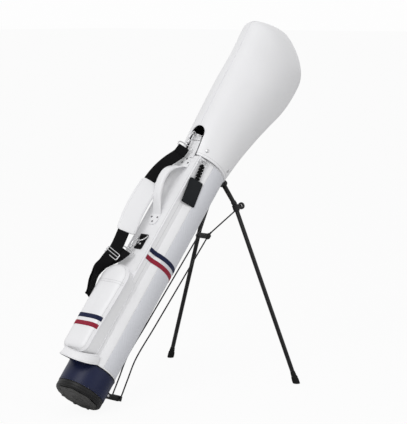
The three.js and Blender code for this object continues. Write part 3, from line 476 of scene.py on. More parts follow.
# %% [markdown]
# ## Stitches and rivets with Geometry Nodes
# A row of stitches repeats along a seam, so it is made by one small tree: the seam's line is resampled at the
# stitch length, and a plump thread is placed at each point, turned along the line. Modelling each by hand
# would be slow to change; here the spacing is one named input. The same idea sets domed rivets on points that
# carry a normal.

# %% The stitch tree
def stitch_tree():
    tree = bpy.data.node_groups.new("stitch_row", "GeometryNodeTree")
    face = tree.interface
    face.new_socket("Geometry", in_out="INPUT", socket_type="NodeSocketGeometry")
    sizes = {}
    for label, value in (("Spacing", 0.0042), ("Length", 0.0031), ("Thickness", 0.0007)):
        socket = face.new_socket(label, in_out="INPUT", socket_type="NodeSocketFloat")
        socket.default_value = value
        sizes[label] = socket.identifier
    socket = face.new_socket("Thread", in_out="INPUT", socket_type="NodeSocketMaterial")
    sizes["Thread"] = socket.identifier
    face.new_socket("Geometry", in_out="OUTPUT", socket_type="NodeSocketGeometry")
    nodes, links = tree.nodes, tree.links
    given = nodes.new("NodeGroupInput")
    curve = nodes.new("GeometryNodeMeshToCurve")
    links.new(given.outputs["Geometry"], curve.inputs["Mesh"])
    points = nodes.new("GeometryNodeCurveToPoints")
    points.mode = "LENGTH"
    links.new(curve.outputs["Curve"], points.inputs["Curve"])
    links.new(given.outputs["Spacing"], points.inputs["Length"])
    thread = nodes.new("GeometryNodeMeshIcoSphere")
    thread.inputs["Radius"].default_value = 0.5
    thread.inputs["Subdivisions"].default_value = 2
    size = nodes.new("ShaderNodeCombineXYZ")
    links.new(given.outputs["Thickness"], size.inputs["X"])
    links.new(given.outputs["Thickness"], size.inputs["Y"])
    links.new(given.outputs["Length"], size.inputs["Z"])
    onto = nodes.new("GeometryNodeInstanceOnPoints")
    links.new(points.outputs["Points"], onto.inputs["Points"])
    links.new(thread.outputs["Mesh"], onto.inputs["Instance"])
    links.new(points.outputs["Rotation"], onto.inputs["Rotation"])
    links.new(size.outputs["Vector"], onto.inputs["Scale"])
    smooth = nodes.new("GeometryNodeSetShadeSmooth")
    links.new(onto.outputs["Instances"], smooth.inputs["Geometry"])
    real = nodes.new("GeometryNodeRealizeInstances")
    links.new(smooth.outputs["Geometry"], real.inputs["Geometry"])
    paint = nodes.new("GeometryNodeSetMaterial")
    links.new(real.outputs["Geometry"], paint.inputs["Geometry"])
    links.new(given.outputs["Thread"], paint.inputs["Material"])
    result = nodes.new("NodeGroupOutput")
    links.new(paint.outputs["Geometry"], result.inputs["Geometry"])
    return tree, sizes


STITCH_TREE, STITCH_SIZES = stitch_tree()


def run_tree(name, guide_mesh, tree, values):
    """Puts a tree on a guide mesh and returns the result as a plain mesh object."""
    guide = bpy.data.objects.new(name + "_guide", guide_mesh)
    bpy.context.scene.collection.objects.link(guide)
    modifier = guide.modifiers.new("tree", "NODES")
    modifier.node_group = tree
    for identifier, value in values.items():
        modifier[identifier] = value
    bpy.context.view_layer.update()
    ready = guide.evaluated_get(bpy.context.evaluated_depsgraph_get())
    mesh = bpy.data.meshes.new_from_object(ready)
    bpy.data.objects.remove(guide)
    mesh.name = name
    piece = bpy.data.objects.new(name, mesh)
    bpy.context.scene.collection.objects.link(piece)
    return piece


def stitches(name, lines, thread, body="bag", spacing=0.0042, length=0.0031, thickness=0.0007):
    """One piece of stitching along several seam lines."""
    mesh = bpy.data.meshes.new(name + "_lines")
    verts, edges = [], []
    for line in lines:
        start = len(verts)
        verts += [tuple(p) for p in line]
        edges += [(start + i, start + i + 1) for i in range(len(line) - 1)]
    mesh.from_pydata(verts, edges, [])
    values = {
        STITCH_SIZES["Spacing"]: spacing,
        STITCH_SIZES["Length"]: length,
        STITCH_SIZES["Thickness"]: thickness,
        STITCH_SIZES["Thread"]: thread,
    }
    piece = run_tree(name, mesh, STITCH_TREE, values)
    settle(piece, body)
    print(name, len(piece.data.polygons), "faces")
    return piece


# %% The rivet tree
def rivet_tree():
    tree = bpy.data.node_groups.new("domed_rivets", "GeometryNodeTree")
    face = tree.interface
    face.new_socket("Geometry", in_out="INPUT", socket_type="NodeSocketGeometry")
    sizes = {}
    for label, value in (("Radius", 0.0032), ("Height", 0.0018)):
        socket = face.new_socket(label, in_out="INPUT", socket_type="NodeSocketFloat")
        socket.default_value = value
        sizes[label] = socket.identifier
    socket = face.new_socket("Metal", in_out="INPUT", socket_type="NodeSocketMaterial")
    sizes["Metal"] = socket.identifier
    face.new_socket("Geometry", in_out="OUTPUT", socket_type="NodeSocketGeometry")
    nodes, links = tree.nodes, tree.links
    given = nodes.new("NodeGroupInput")
    dome = nodes.new("GeometryNodeMeshUVSphere")
    dome.inputs["Segments"].default_value = 20
    dome.inputs["Rings"].default_value = 12
    dome.inputs["Radius"].default_value = 1.0
    size = nodes.new("ShaderNodeCombineXYZ")
    links.new(given.outputs["Radius"], size.inputs["X"])
    links.new(given.outputs["Radius"], size.inputs["Y"])
    links.new(given.outputs["Height"], size.inputs["Z"])
    facing = nodes.new("GeometryNodeInputNamedAttribute")
    facing.data_type = "FLOAT_VECTOR"
    facing.inputs["Name"].default_value = "facing"
    turn = nodes.new("FunctionNodeAlignRotationToVector")
    turn.axis = "Z"
    links.new(facing.outputs["Attribute"], turn.inputs["Vector"])
    onto = nodes.new("GeometryNodeInstanceOnPoints")
    links.new(given.outputs["Geometry"], onto.inputs["Points"])
    links.new(dome.outputs["Mesh"], onto.inputs["Instance"])
    links.new(turn.outputs["Rotation"], onto.inputs["Rotation"])
    links.new(size.outputs["Vector"], onto.inputs["Scale"])
    smooth = nodes.new("GeometryNodeSetShadeSmooth")
    links.new(onto.outputs["Instances"], smooth.inputs["Geometry"])
    real = nodes.new("GeometryNodeRealizeInstances")
    links.new(smooth.outputs["Geometry"], real.inputs["Geometry"])
    paint = nodes.new("GeometryNodeSetMaterial")
    links.new(real.outputs["Geometry"], paint.inputs["Geometry"])
    links.new(given.outputs["Metal"], paint.inputs["Material"])
    result = nodes.new("NodeGroupOutput")
    links.new(paint.outputs["Geometry"], result.inputs["Geometry"])
    return tree, sizes


RIVET_TREE, RIVET_SIZES = rivet_tree()


def rivets(name, spots, radius, height, metal, body="bag", replaces=()):
    """Domed rivets on (point, normal) spots. Sizes in metres."""
    mesh = bpy.data.meshes.new(name + "_spots")
    mesh.from_pydata([tuple(p) for p, _ in spots], [], [])
    normals = mesh.attributes.new("facing", "FLOAT_VECTOR", "POINT")
    normals.data.foreach_set("vector", [c for _, n in spots for c in n])
    values = {RIVET_SIZES["Radius"]: radius, RIVET_SIZES["Height"]: height, RIVET_SIZES["Metal"]: metal}
    piece = run_tree(name, mesh, RIVET_TREE, values)
    settle(piece, body, replaces)
    print(name, len(spots), "rivets")
    return piece


# %% [markdown]
# ## Camera, floor and light
# A plain pale floor and soft lamps, like a small studio. The camera stands at the view that shows the pocket,
# the strap and both legs. The floor and the far world are white only to the camera and to mirrors, so that
# they stay a clean background without throwing more light on the bag.

# %% Camera
BACK = Vector((math.sin(math.radians(-46.92)) * math.cos(math.radians(8.74)),
               -math.cos(math.radians(-46.92)) * math.cos(math.radians(8.74)),
               math.sin(math.radians(8.74))))
FOCAL = 3.6363
target = Vector(((300 + X0) / 1000, 0, 0.45))
camera_data = bpy.data.cameras.new("camera")
camera = bpy.data.objects.new("camera", camera_data)
bpy.context.scene.collection.objects.link(camera)
camera.location = target + BACK * 4.1866
right = Vector((math.cos(math.radians(-46.92)), math.sin(math.radians(-46.92)), 0))
up = BACK.cross(right)
aim = (-BACK + right * 0.1263 / FOCAL + up * 0.0602 / FOCAL).normalized()
camera.rotation_mode = "QUATERNION"
camera.rotation_quaternion = aim.to_track_quat("-Z", "Y")
camera_data.sensor_fit = "HORIZONTAL"
camera_data.sensor_width = 36
camera_data.lens = FOCAL * 36
bpy.context.scene.camera = camera
bpy.context.scene.view_settings.view_transform = "Standard"


# %% Floor and lamps
def studio_white():
    material = bpy.data.materials.new("studio_white")
    material.use_nodes = True
    nodes, links = material.node_tree.nodes, material.node_tree.links
    shader = nodes["Principled BSDF"]
    shader.inputs["Base Color"].default_value = (0.72, 0.72, 0.72, 1)
    shader.inputs["Roughness"].default_value = 0.9
    path = nodes.new("ShaderNodeLightPath")
    share = nodes.new("ShaderNodeMath")
    share.operation = "MULTIPLY"
    share.inputs[1].default_value = 0.93
    links.new(path.outputs["Is Camera Ray"], share.inputs[0])
    glow = nodes.new("ShaderNodeEmission")
    glow.inputs["Strength"].default_value = 1.0
    mix = nodes.new("ShaderNodeMixShader")
    links.new(share.outputs["Value"], mix.inputs["Fac"])
    links.new(shader.outputs["BSDF"], mix.inputs[1])
    links.new(glow.outputs["Emission"], mix.inputs[2])
    links.new(mix.outputs["Shader"], nodes["Material Output"].inputs["Surface"])
    return material


def make_floor():
    size = 60.0
    verts = [(-size, -size, 0), (size, -size, 0), (size, size, 0), (-size, size, 0)]
    floor = make_piece("floor", [Vector(v) for v in verts], [(0, 1, 2, 3)], [studio_white()])
    return floor


def make_world():
    world = bpy.data.worlds.new("studio")
    bpy.context.scene.world = world
    world.use_nodes = True
    nodes, links = world.node_tree.nodes, world.node_tree.links
    nodes.clear()
    path = nodes.new("ShaderNodeLightPath")
    seen = nodes.new("ShaderNodeMath")
    seen.operation = "MAXIMUM"
    links.new(path.outputs["Is Camera Ray"], seen.inputs[0])
    links.new(path.outputs["Is Glossy Ray"], seen.inputs[1])
    strength = nodes.new("ShaderNodeMapRange")
    strength.inputs["To Min"].default_value = 0.62
    strength.inputs["To Max"].default_value = 0.985
    links.new(seen.outputs["Value"], strength.inputs["Value"])
    white = nodes.new("ShaderNodeBackground")
    white.inputs["Color"].default_value = (1, 1, 1, 1)
    links.new(strength.outputs["Result"], white.inputs["Strength"])
    output = nodes.new("ShaderNodeOutputWorld")
    links.new(white.outputs["Background"], output.inputs["Surface"])


def lamp(name, where, look_at, power, size):
    data = bpy.data.lights.new(name, "AREA")
    data.energy = power
    data.size = size
    light = bpy.data.objects.new(name, data)
    light.location = where
    light.rotation_mode = "QUATERNION"
    light.rotation_quaternion = (Vector(look_at) - Vector(where)).to_track_quat("-Z", "Y")
    bpy.context.scene.collection.objects.link(light)


make_floor()
make_world()
lamp("key", (-3.0, -0.8, 3.2), (0, 0, 0.5), 60, 2.2)
lamp("fill", (0.5, -3.4, 1.4), (0, 0, 0.5), 10, 2.5)
print("camera", camera.location[:])

# %% [markdown]
# ## The tube, its band and its base
# The tube is a rolled board wrapped in leather, so it is almost a true cylinder; only the wrap shows, as
# faint long undulations and a seam. A surface of revolution gives the form, and a little noise along the
# normal gives the wrap. The navy band, the black piping and the moulded base are turned in the same way, with
# their edges rounded.

# %% Tube
def wrapped(point, amount, scale, seed=0.0):
    """Pushes a point off the bag's axis by soft noise, as leather does over a board."""
    return noise.noise(point * scale + Vector((seed, seed, seed))) * amount


def tube_wall(radius, low, high, rows=90, sides=128, amount=0.35):
    rings = []
    for i in range(rows + 1):
        l = low + (high - low) * i / rows
        ring = []
        for k in range(sides):
            a = 2 * math.pi * k / sides
            r = radius
            if amount:
                r += wrapped(place(radius * math.cos(a), radius * math.sin(a), l * 0.35), amount, 26)
            ring.append(place(r * math.cos(a), r * math.sin(a), l))
        rings.append(ring)
    return rings


def make_tube():
    low = BASE_HEIGHT + 0.3
    outer = tube_wall(TUBE_R - 0.3, low, RIM)
    inner = tube_wall(TUBE_R - 3, low, RIM, rows=4, amount=0)
    verts, faces, uvs = loft(outer + inner[::-1], closed=True)
    count = len(outer[0])
    verts, faces, uvs = facing_out(verts, faces, uvs)
    lined = [1 if f[0] // count >= len(outer) - 1 and f[0] // count < len(outer) + len(inner) - 1 else 0
             for f in faces]
    tube = make_piece("tube_skin", verts, faces, [white_leather, black_lining], uvs, lined)
    settle(tube, "bag", ["body_shell"])


def make_band():
    low, high = BASE_HEIGHT + 0.3, 83.5
    r = TUBE_R + 0.3
    profile = [(r, low), (r + 1.0, low), (r + 1.3, low + 1.5), (r + 1.3, high - 3), (r + 1.2, high - 0.6),
               (r + 0.6, high)]
    profile += [(r, high)]
    add("base_band_leather", turned(profile, closed=True), navy_leather, replaces=["base_band"])
    seam = [places([((r + 1.5) * math.cos(a), (r + 1.5) * math.sin(a), l)
                    for a in (2 * math.pi * k / 120 for k in range(121))]) for l in (high - 4.5, low + 4)]
    stitches("band_stitches", seam, black_thread)
    middle = high + 1.6
    rings = [(TUBE_R + 1.2 + 1.5 * math.cos(a), middle + 1.5 * math.sin(a))
             for a in (math.pi * k / 6 for k in range(12))]
    add("band_piping", turned(rings, closed=True), black_plastic, replaces=["base_piping"])


def make_base():
    profile = [(0, 0.2), (60, 0.2), (63.5, 0.0), (65, 0.4), (66.6, 2.2), (67.8, 5), (68, 7.5), (67.2, 8.6),
               (67.2, 9.8), (68, 10.9), (68, 15.5), (67.2, 16.4), (67.2, 17.4), (67.9, 18.4), (67.4, 19),
               (0, 19)]
    add("base_moulding", turned(profile), black_plastic, replaces=["base_cap"],
        sharp=30)
    eight = [2 * math.pi * k / 8 + math.pi / 8 for k in range(8)]

    def plate_ring(r, l):
        corners = [Vector((r * math.cos(a), r * math.sin(a))) for a in eight]
        ring = []
        for i, corner in enumerate(corners):
            for j in (-1, 1):
                ring.append(place(*(corner.lerp(corners[(i + j) % 8], 0.06)), l))
        return ring
    rings = [plate_ring(r, l) for r, l in ((61, -0.3), (61.5, -0.8), (61.5, -2.7), (60.6, -3.3), (46, -3.3),
                                           (45.2, -2.5), (43, -2.5), (42.2, -3.3), (24, -3.3))]
    plate = facing_out(*loft(rings))
    ovals = []
    for k in range(48):
        a = 2 * math.pi * k / 48
        ovals.append((math.cos(a) * 0.62, math.sin(a) * 1.25))
    rim = [[place(r * x, r * y, l) for x, y in ovals] for r, l in ((17.5, -3.0), (17.2, -4.3), (16.4, -4.6),
                                                                   (9.6, -4.6), (9, -4.2), (8.6, -3.0))]
    oval = facing_out(*loft(rim, closed=True))
    lugs = []
    for k in range(8):
        a = math.pi / 4 * k
        spot = (54 * math.cos(a), 54 * math.sin(a))
        lugs.append(barrel(place(*spot, -2.4), place(*spot, -4.8), 0.005, sides=20, edge=0.0008))
    add("tread_plate", joined(plate, oval, *lugs), grey_plastic, replaces=["base_tread"],
        sharp=30)


make_tube()
make_band()
make_base()
print("tube, band, piping, base and tread plate")

# %% [markdown]
# ## The spine panel
# A padded strip runs down the front from the rim to the band, with a thin piping sewn into each edge. Its
# section is a shallow box that hugs the tube, so one loft of that section up the tube makes it, and the
# piping and the rows of stitches follow its edges.

# %% Spine panel and its seams
PANEL_LOW = 87.0


def panel_section(l):
    hug = TUBE_R + 0.3
    reach = math.asin(46 / hug)
    points = []
    for k in range(9):
        a = math.pi - reach + 2 * reach * k / 8
        points.append((hug * math.cos(a), hug * math.sin(a)))
    outer = []
    for k in range(7):
        t = k / 6
        outer.append((-49.0 - 22.0 * t, -(46.0 - 4.0 * t)))
    for k in range(1, 6):
        a = k / 6 * math.pi / 2
        outer.append((-71.0 - 3.6 * math.sin(a), -(38.4 + 3.6 * math.cos(a))))
    for k in range(21):
        y = -38.0 + 76.0 * k / 20
        crown = 0.5 * (1 - (y / 38.0) ** 4) + 0.35 * noise.noise(Vector((y * 0.03, l * 0.012, 3)))
        outer.append((-74.6 - crown, y))
    mirrored = [(e, -y) for e, y in outer[:12]][::-1]
    return points, outer + mirrored


def make_panel():
    rings = []
    rows = 110
    for i in range(rows + 1):
        l = PANEL_LOW + (RIM - PANEL_LOW) * i / rows
        inner, outer = panel_section(l)
        rings.append([place(e, y, l) for e, y in inner + outer])
    add("spine_leather", facing_out(*loft(rings)), white_leather, replaces=["spine_panel"])
    piping = []
    for side in (-1, 1):
        line = places([(-73.4, side * 41.2, PANEL_LOW + 1 + (RIM - 3 - PANEL_LOW) * k / 60)
                       for k in range(61)])
        piping.append(wire(line, 0.0014, 10))
    add("spine_piping", joined(*piping), white_piping)
    seams = []
    for side in (-1, 1):
        for l0, l1 in ((376, 770),):
            seams.append(places([(-75.1, side * 36.5, l0 + (l1 - l0) * k / 80) for k in range(81)]))
        seams.append(places([(-60, side * 44.3, 96 + 670 * k / 80) for k in range(81)]))
    stitches("spine_stitches", seams, white_thread)


make_panel()


# %% The embossed panel round the back
def emboss(angle, l):
    """A shallow repeating relief of slanting ridges, pressed into the leather."""
    slant = angle * TUBE_R + 0.55 * l
    ridge = max(0.0, math.sin(slant * 2 * math.pi / 9.0)) ** 2
    gate = 0.5 + 0.5 * math.sin(l * 2 * math.pi / 46.0 + 0.05 * angle * TUBE_R)
    return 0.4 * ridge * gate


def make_side_panel():
    """A second leather, laid round the back of the tube from seam to seam, with a faint pressed pattern; its
    grey is painted shade.
    """
    low, high = 92.0, RIM - 1.5
    half = math.radians(113)
    columns, rows = 300, 260
    rings = []
    for i in range(rows + 1):
        l = low + (high - low) * i / rows
        outer, inner = [], []
        for k in range(columns + 1):
            a = -half + 2 * half * k / columns
            edge = max(0.0, min(1.0, (half - abs(a)) * TUBE_R / 2.0))
            rise = 0.15 + 0.2 * math.sqrt(edge) + emboss(a, l) * edge
            outer.append(place((TUBE_R + rise) * math.cos(a), (TUBE_R + rise) * math.sin(a), l))
        for a in (half, half / 2, 0.0, -half / 2, -half):
            inner.append(place((TUBE_R - 0.6) * math.cos(a), (TUBE_R - 0.6) * math.sin(a), l))
        rings.append(outer + inner)
    add("tube_side_leather", facing_out(*loft(rings)), painted_shade_leather)
    seams = []
    for side in (-1, 1):
        a = side * (half + 1.6 / TUBE_R)
        seams.append(places([((TUBE_R + 0.2) * math.cos(a), (TUBE_R + 0.2) * math.sin(a),
                              low + (high - low) * k / 80)
                             for k in range(81)]))
    stitches("tube_side_stitches", seams, white_thread)


make_side_panel()


# %% Striped tapes on the tube
def tape_round(name, low, high, material):
    """A woven tape from one edge of the panel, round the back of the tube, to the other."""
    middle = (low + high) / 2
    start = math.radians(-134)
    flank = [(-71.4, -42.9), (-66.0, -43.8), (-60.0, -44.8), (-54.0, -45.9)]
    path = list(flank)
    for k in range(97):
        a = start + (-2 * start) * k / 96
        path.append(((TUBE_R + 0.85) * math.cos(a), (TUBE_R + 0.85) * math.sin(a)))
    path += [(e, -y) for e, y in flank[::-1]]
    line = [place(e, y, middle) for e, y in path]
    across = [way(0, 0, 1)] * len(line)
    add(name, band(line, across, (high - low) / 1000, 0.0008, corner=3), material)


tape_round("tube_tape_navy", 443, 456, navy_tape)
tape_round("tube_tape_red", 419, 432.5, red_tape)
print("panel, piping, stitches and tapes")

# %% [markdown]
# ## The mouth
# The rim is padded and rolled over, and a padded bar divides the clubs. Both are mostly under the hood, and
# are seen when it is lifted off.

# %% Collar and divider
def make_collar():
    low, high = RIM + 0.3, RIM + 17.3
    profile = [(61.2, low), (66.8, low), (67.2, low + 3), (67, high - 5), (66, high - 1.6), (64.2, high),
               (62.4, high - 1.4), (61.4, high - 5), (61, low + 4)]
    collar = add("rim_collar", turned(profile, closed=True), white_leather, replaces=["top_collar"])
    seams = [[place(r * math.cos(a), r * math.sin(a), l) for a in (2 * math.pi * k / 120 for k in range(121))]
             for r, l in ((67.35, low + 3.2),)]
    stitches("collar_stitches", seams, white_thread)


def make_divider():
    rings = []
    low, high = 749.3, 789.3
    for k in range(25):
        e = -60.2 + 120.4 * k / 24
        swell = 1 - 0.6 * abs(e / 60.2) ** 6
        rings.append([place(e, x * swell, (low + high) / 2 + z)
                      for x, z in flat_section(4.8, high - low, 2.2, 6)])
    divider = add("divider_bar", facing_out(*loft(rings)), black_lining, replaces=["club_divider"])


make_collar()
make_divider()

# %% [markdown]
# ## The pocket
# A long soft pocket with an arched top. Its face is crowned by what is inside, a piping runs round the edge,
# and a gusset with a zip joins it to the panel. The form is lofted from one outline, inset step by step, with
# the crown given by a curve; a double seam crosses it below the arch.

# %% Pocket shape
P_LOW, P_TOP, P_HALF = 92.0, 371.0, 45.0
P_BACK, P_EDGE, P_CROWN = 75.3, 100.0, 16.0
P_ROUND = 22.0
SEAM_L = 309.0
P_FLARE = 6.5


def flared(y, l, share=1.0):
    """The pocket's face is fuller at its shoulder on the -Y side, away from the zip."""
    if y > 0:
        return y
    t = min(max((l - 130) / 190, 0), 1)
    return y * (1 + share * P_FLARE / P_HALF * t * t * (3 - 2 * t))


def pocket_line(inset, share=1.0, arc=28, corner=10, straight=22):
    """The pocket's outline seen from the front, as (y, l), anticlockwise from the +Y side of the arch."""
    half = P_HALF - inset
    spring = P_TOP - P_HALF
    points = []
    for k in range(arc + 1):
        a = math.pi * k / arc
        points.append((half * math.cos(a), spring + half * math.sin(a)))
    radius = max(P_ROUND - inset, 2.0)
    low = P_LOW + inset + radius
    for k in range(1, straight):
        points.append((-half, spring + (low - spring) * k / straight))
    for side in (-1, 1):
        for k in range(corner + 1):
            a = (k if side < 0 else corner - k) / corner * math.pi / 2
            points.append((side * (half - radius + radius * math.cos(a)), low - radius * math.sin(a)))
    for k in range(1, straight):
        points.append((half, low + (spring - low) * k / straight))
    return [(flared(y, l, share), l) for y, l in points]


def pocket_depth(inset, l):
    """How far the pocket's face stands from the tube's axis."""
    crown = P_CROWN * (1 - math.exp(-max(inset, 0) / 6.5))
    seam = 1.4 * math.exp(-((l - SEAM_L) / 1.8) ** 2) if inset > 1 else 0.0
    return P_EDGE - 0.6 + crown - seam


def gusset_sink(y):
    """On the -Y side the gusset runs further in, over the panel's flank to the tube."""
    return min(max((-y - 38) / 7, 0), 1)


def make_pocket():
    rings = []
    for e, inset, sink, share in ((P_BACK, 0.0, 18, 0), (P_BACK + 1.5, -0.3, 16, 0), (82.0, -0.4, 8, 0),
                                  (88.0, -0.4, 2, 0), (93.0, -0.4, 0, 0.03), (96.0, -0.3, 0, 0.5),
                                  (98.5, 0.0, 0, 1)):
        rings.append([place(-(e - sink * gusset_sink(y)), y, l) for y, l in pocket_line(inset, share)])
    steps = [0.5, 1.2, 2.2, 3.5, 5, 7, 9.5, 12.5, 16, 20, 24, 28, 32, 36, 40, 43.5]
    for inset in steps:
        ring = []
        for y, l in pocket_line(inset):
            wave = 0.8 * noise.noise(Vector((y * 0.035, l * 0.022, 1.7))) * min(inset / 10, 1)
            ring.append(place(-(pocket_depth(inset, l) + wave), y, l))
        rings.append(ring)
    pocket = add("pocket_leather", facing_out(*loft(rings)), white_leather, replaces=["pocket_body"])
    edge = [place(-(P_EDGE - 0.4), y, l) for y, l in pocket_line(0.3)]
    add("pocket_piping", wire(edge, 0.0016, 10, closed=True), white_piping)
    back_edge = [place(-(P_BACK + 0.9 - 17 * gusset_sink(y)), y, l) for y, l in pocket_line(-0.2, 0)]
    add("pocket_base_piping", wire(back_edge, 0.0012, 8, closed=True), white_piping)


def face_point(y, l, lift=0.0):
    return place(-(pocket_depth(P_HALF - abs(y), l) + lift), flared(y, l), l)


def pocket_tape(name, low, high, material):
    line, across = [], []
    middle = (low + high) / 2
    for k in range(41):
        y = 43.5 * math.sin(math.pi / 2 * (2 * k / 40 - 1))
        wave = 0.8 * noise.noise(Vector((y * 0.035, middle * 0.022, 1.7))) * min((P_HALF - abs(y)) / 10, 1)
        line.append(face_point(y, middle, 0.45 + wave))
        across.append(way(0, 0, 1))
    add(name, band(line, across, (high - low) / 1000, 0.0009, corner=3), material)


def pocket_seams():
    rows = []
    for offset in (-3.4, 3.4):
        rows.append([face_point(-43 + 86 * k / 40, SEAM_L + offset, 0.25) for k in range(41)])
    rows.append([place(-(pocket_depth(4.5, 0) + 0.3), y, l) for y, l in pocket_line(4.5)])
    stitches("pocket_stitches", rows, white_thread)


make_pocket()
pocket_tape("pocket_tape_navy", 187, 200, navy_tape)
pocket_tape("pocket_tape_red", 163, 176, red_tape)
pocket_seams()
print("pocket")


# %% Zip
ZIP_SPRING = 323.0


def zip_line(offset, lift):
    """A line round the gusset, from low on the +Y side up over the arch."""
    spring = ZIP_SPRING
    r = P_HALF + 0.4 + lift
    points = [(r, 150 + (spring - 150) * k / 40) for k in range(40)]
    points += [(r * math.cos(a), spring + r * math.sin(a)) for a in (math.pi * k / 40 for k in range(24))]
    return [place(-(87.6 + offset), y, l) for y, l in points]


def make_zip():
    tape_line = zip_line(0, 0.2)
    tape_across = [way(1, 0, 0)] * len(tape_line)
    add("zip_tape", band(tape_line, tape_across, 0.013, 0.0007, corner=3), white_thread)
    stitches("zip_teeth", [zip_line(-0.9, 0.9), zip_line(0.9, 0.9)], white_thread, spacing=0.0026,
             length=0.0013, thickness=0.0017)


def make_zip_slider():
    angle = math.radians(8)
    out = way(0, math.cos(angle), math.sin(angle))
    along = way(0, -math.sin(angle), math.cos(angle))
    middle = place(-87.65, 0, ZIP_SPRING) + out * 0.0473
    body = slab(middle, way(1, 0, 0), along, 0.009, 0.0125, 0.0036, 0.003, edge=0.0008)
    bridge_line = smooth_line([middle + along * d + out * h
                               for d, h in ((0.005, 0.0012), (0.0035, 0.0036), (-0.002, 0.0038),
                                            (-0.005, 0.0014))], 6)
    bridge = wire(bridge_line, 0.0007, 10)
    add("zip_slider_metal", joined(body, bridge), nickel, "slider", ["zip_slider"])
    hang = middle + out * 0.0036
    ring = [hang + along * (-0.002 - 0.0035 + 0.0035 * math.cos(a)) + way(1, 0, 0) * 0.0026 * math.sin(a)
            for a in (2 * math.pi * k / 20 for k in range(20))]
    loop = wire(ring, 0.0006, 8, closed=True)
    tag = slab(hang - along * 0.0185, way(1, 0, 0), along, 0.0068, 0.021, 0.0016, 0.003, edge=0.0005)
    add("zip_pull_metal", joined(loop, tag), dark_nickel, "pull", ["zip_pull"])


make_zip()
make_zip_slider()
print("zip")

# %% [markdown]
# ## The carrying handle and the grab loop
# The handle is a padded arch that runs out at each end into a flat tab, which three rivets hold to the panel.
# One loft does it, whose section turns from flat to fat and back. The grab loop is a leather band lined with
# webbing, so it is two bands on one line, a little apart.

# %% Carrying handle
def handle_section(l, depth, slope, width, thickness, radius):
    along = way(-math.sin(slope), 0, math.cos(slope))
    out = way(-math.cos(slope), 0, -math.sin(slope))
    side = out.cross(along).normalized()
    r = min(radius, thickness / 2.05, width / 2.05)
    return [place(-depth, 0, l) + side * (x / 1000) + out * (y / 1000)
            for x, y in flat_section(width, thickness, r, 6)]


def handle_rings():
    face, tab = 75.3, 75.3 + 1.3
    low, high, grip_low, grip_high = 527.0, 765.0, 562.0, 730.0
    rings = []
    for k in range(9):
        t = k / 8
        width = 33 * math.sin(math.pi / 2 * (0.2 + 0.8 * t)) ** 0.7
        rings.append(handle_section(low + 16 * t, tab, 0, width, 2.4, 1.1))
    rings.append(handle_section(grip_low - 12, tab, 0, 33, 2.5, 1.1))
    middle, half = (grip_low + grip_high) / 2, (grip_high - grip_low) / 2
    reach, skew = 126.0, 1.3
    steps = 56
    for k in range(steps + 1):
        t = k / steps
        near = min(t, 1 - t)
        turn = math.pi * t ** skew
        arch = max(math.sin(turn), 0.0) ** 0.7
        swell = min(1, 3.2 * near)
        swell = swell * swell * (3 - 2 * swell)
        thickness = 2.6 + 10.6 * swell
        width = 32 - 5 * min(1, 5 * near)
        depth = face + thickness / 2 + (reach - face - 5.5) * arch
        slope = math.pi / 3.4 * math.cos(turn) * min(1, 6 * near)
        rings.append(handle_section(middle + half * (2 * t - 1), depth, slope, width, thickness, 6.0))
    rings.append(handle_section(grip_high + 10, tab, 0, 33, 2.5, 1.1))
    for k in range(9):
        t = 1 - k / 8
        width = 33 * math.sin(math.pi / 2 * (0.2 + 0.8 * t)) ** 0.7
        rings.append(handle_section(high - 16 * t, tab, 0, width, 2.4, 1.1))
    return rings


def make_handle():
    rings = handle_rings()
    handle = add("handle_leather", facing_out(*loft(rings)), white_leather, replaces=["carry_handle"])
    seams = []
    count = len(rings[0])
    for pick in (2, count - 3):
        line = []
        for ring in rings[12:-12]:
            centre = sum(ring, Vector()) / count
            point = ring[pick % count]
            line.append(centre + (point - centre) * 1.03)
        seams.append(line)
    stitches("handle_stitches", seams, white_thread)
    out = way(-1, 0, 0)
    spots = [(0, 759), (11, 745), (-11, 745), (11, 551), (-11, 551), (0, 536)]
    rivets("handle_rivets", [(place(-77.9, y, l), out) for y, l in spots], 0.0031, 0.0017, dark_nickel,
           replaces=[f"handle_rivet_{k}" for k in range(1, 7)])


make_handle()


# %% Grab loop
def make_grab_loop():
    half, reach, root, sag, level = 52.0, 114.0, 48.3, 24.0, 100.0
    tilt = 9.0  # its +Y side hangs higher
    line, across = [], []
    for k in range(65):
        a = -math.pi / 2 + math.pi * k / 64
        r = max(math.cos(a), 0.0) ** 0.75
        line.append(Vector((-(root + (reach - root) * r), half * math.sin(a),
                            level - sag * r + tilt * math.sin(a) * r)))
        across.append(Vector((0.25, 0, 1)).normalized())
    ways = tangents(line)
    outer, inner = [], []
    for point, t, w in zip(line, ways, across):
        n = t.cross(w).normalized()
        if n.dot(Vector((point.x, point.y, 0))) < 0:
            n = -n
        outer.append(place(*(point + n * 0.5)))
        inner.append(place(*(point - n * 1.0)))
    turned_across = [way(*w) for w in across]
    add("grab_loop_leather", band(outer, turned_across, 0.027, 0.0018), white_leather,
        replaces=["grab_loop"])
    add("grab_loop_lining", band(inner, turned_across, 0.0252, 0.0011), black_webbing)
    rows = []
    for d in (-11.3, 11.3):
        rows.append([p + w * (d / 1000) + (p - q).normalized() * 0.00095
                     for p, q, w in zip(outer, inner, turned_across)])
    stitches("grab_loop_stitches", [row[2:-2] for row in rows], white_thread)


make_grab_loop()
print("handle and grab loop")

# %% [markdown]
# ## Rings, snap hooks and the shoulder strap
# Wire parts are round sections swept along smooth lines. The strap is webbing with a padded middle: the
# webbing is a flat band that folds over the bar of each hook, and the pad is a thicker band with rounded
# ends, piped and stitched.

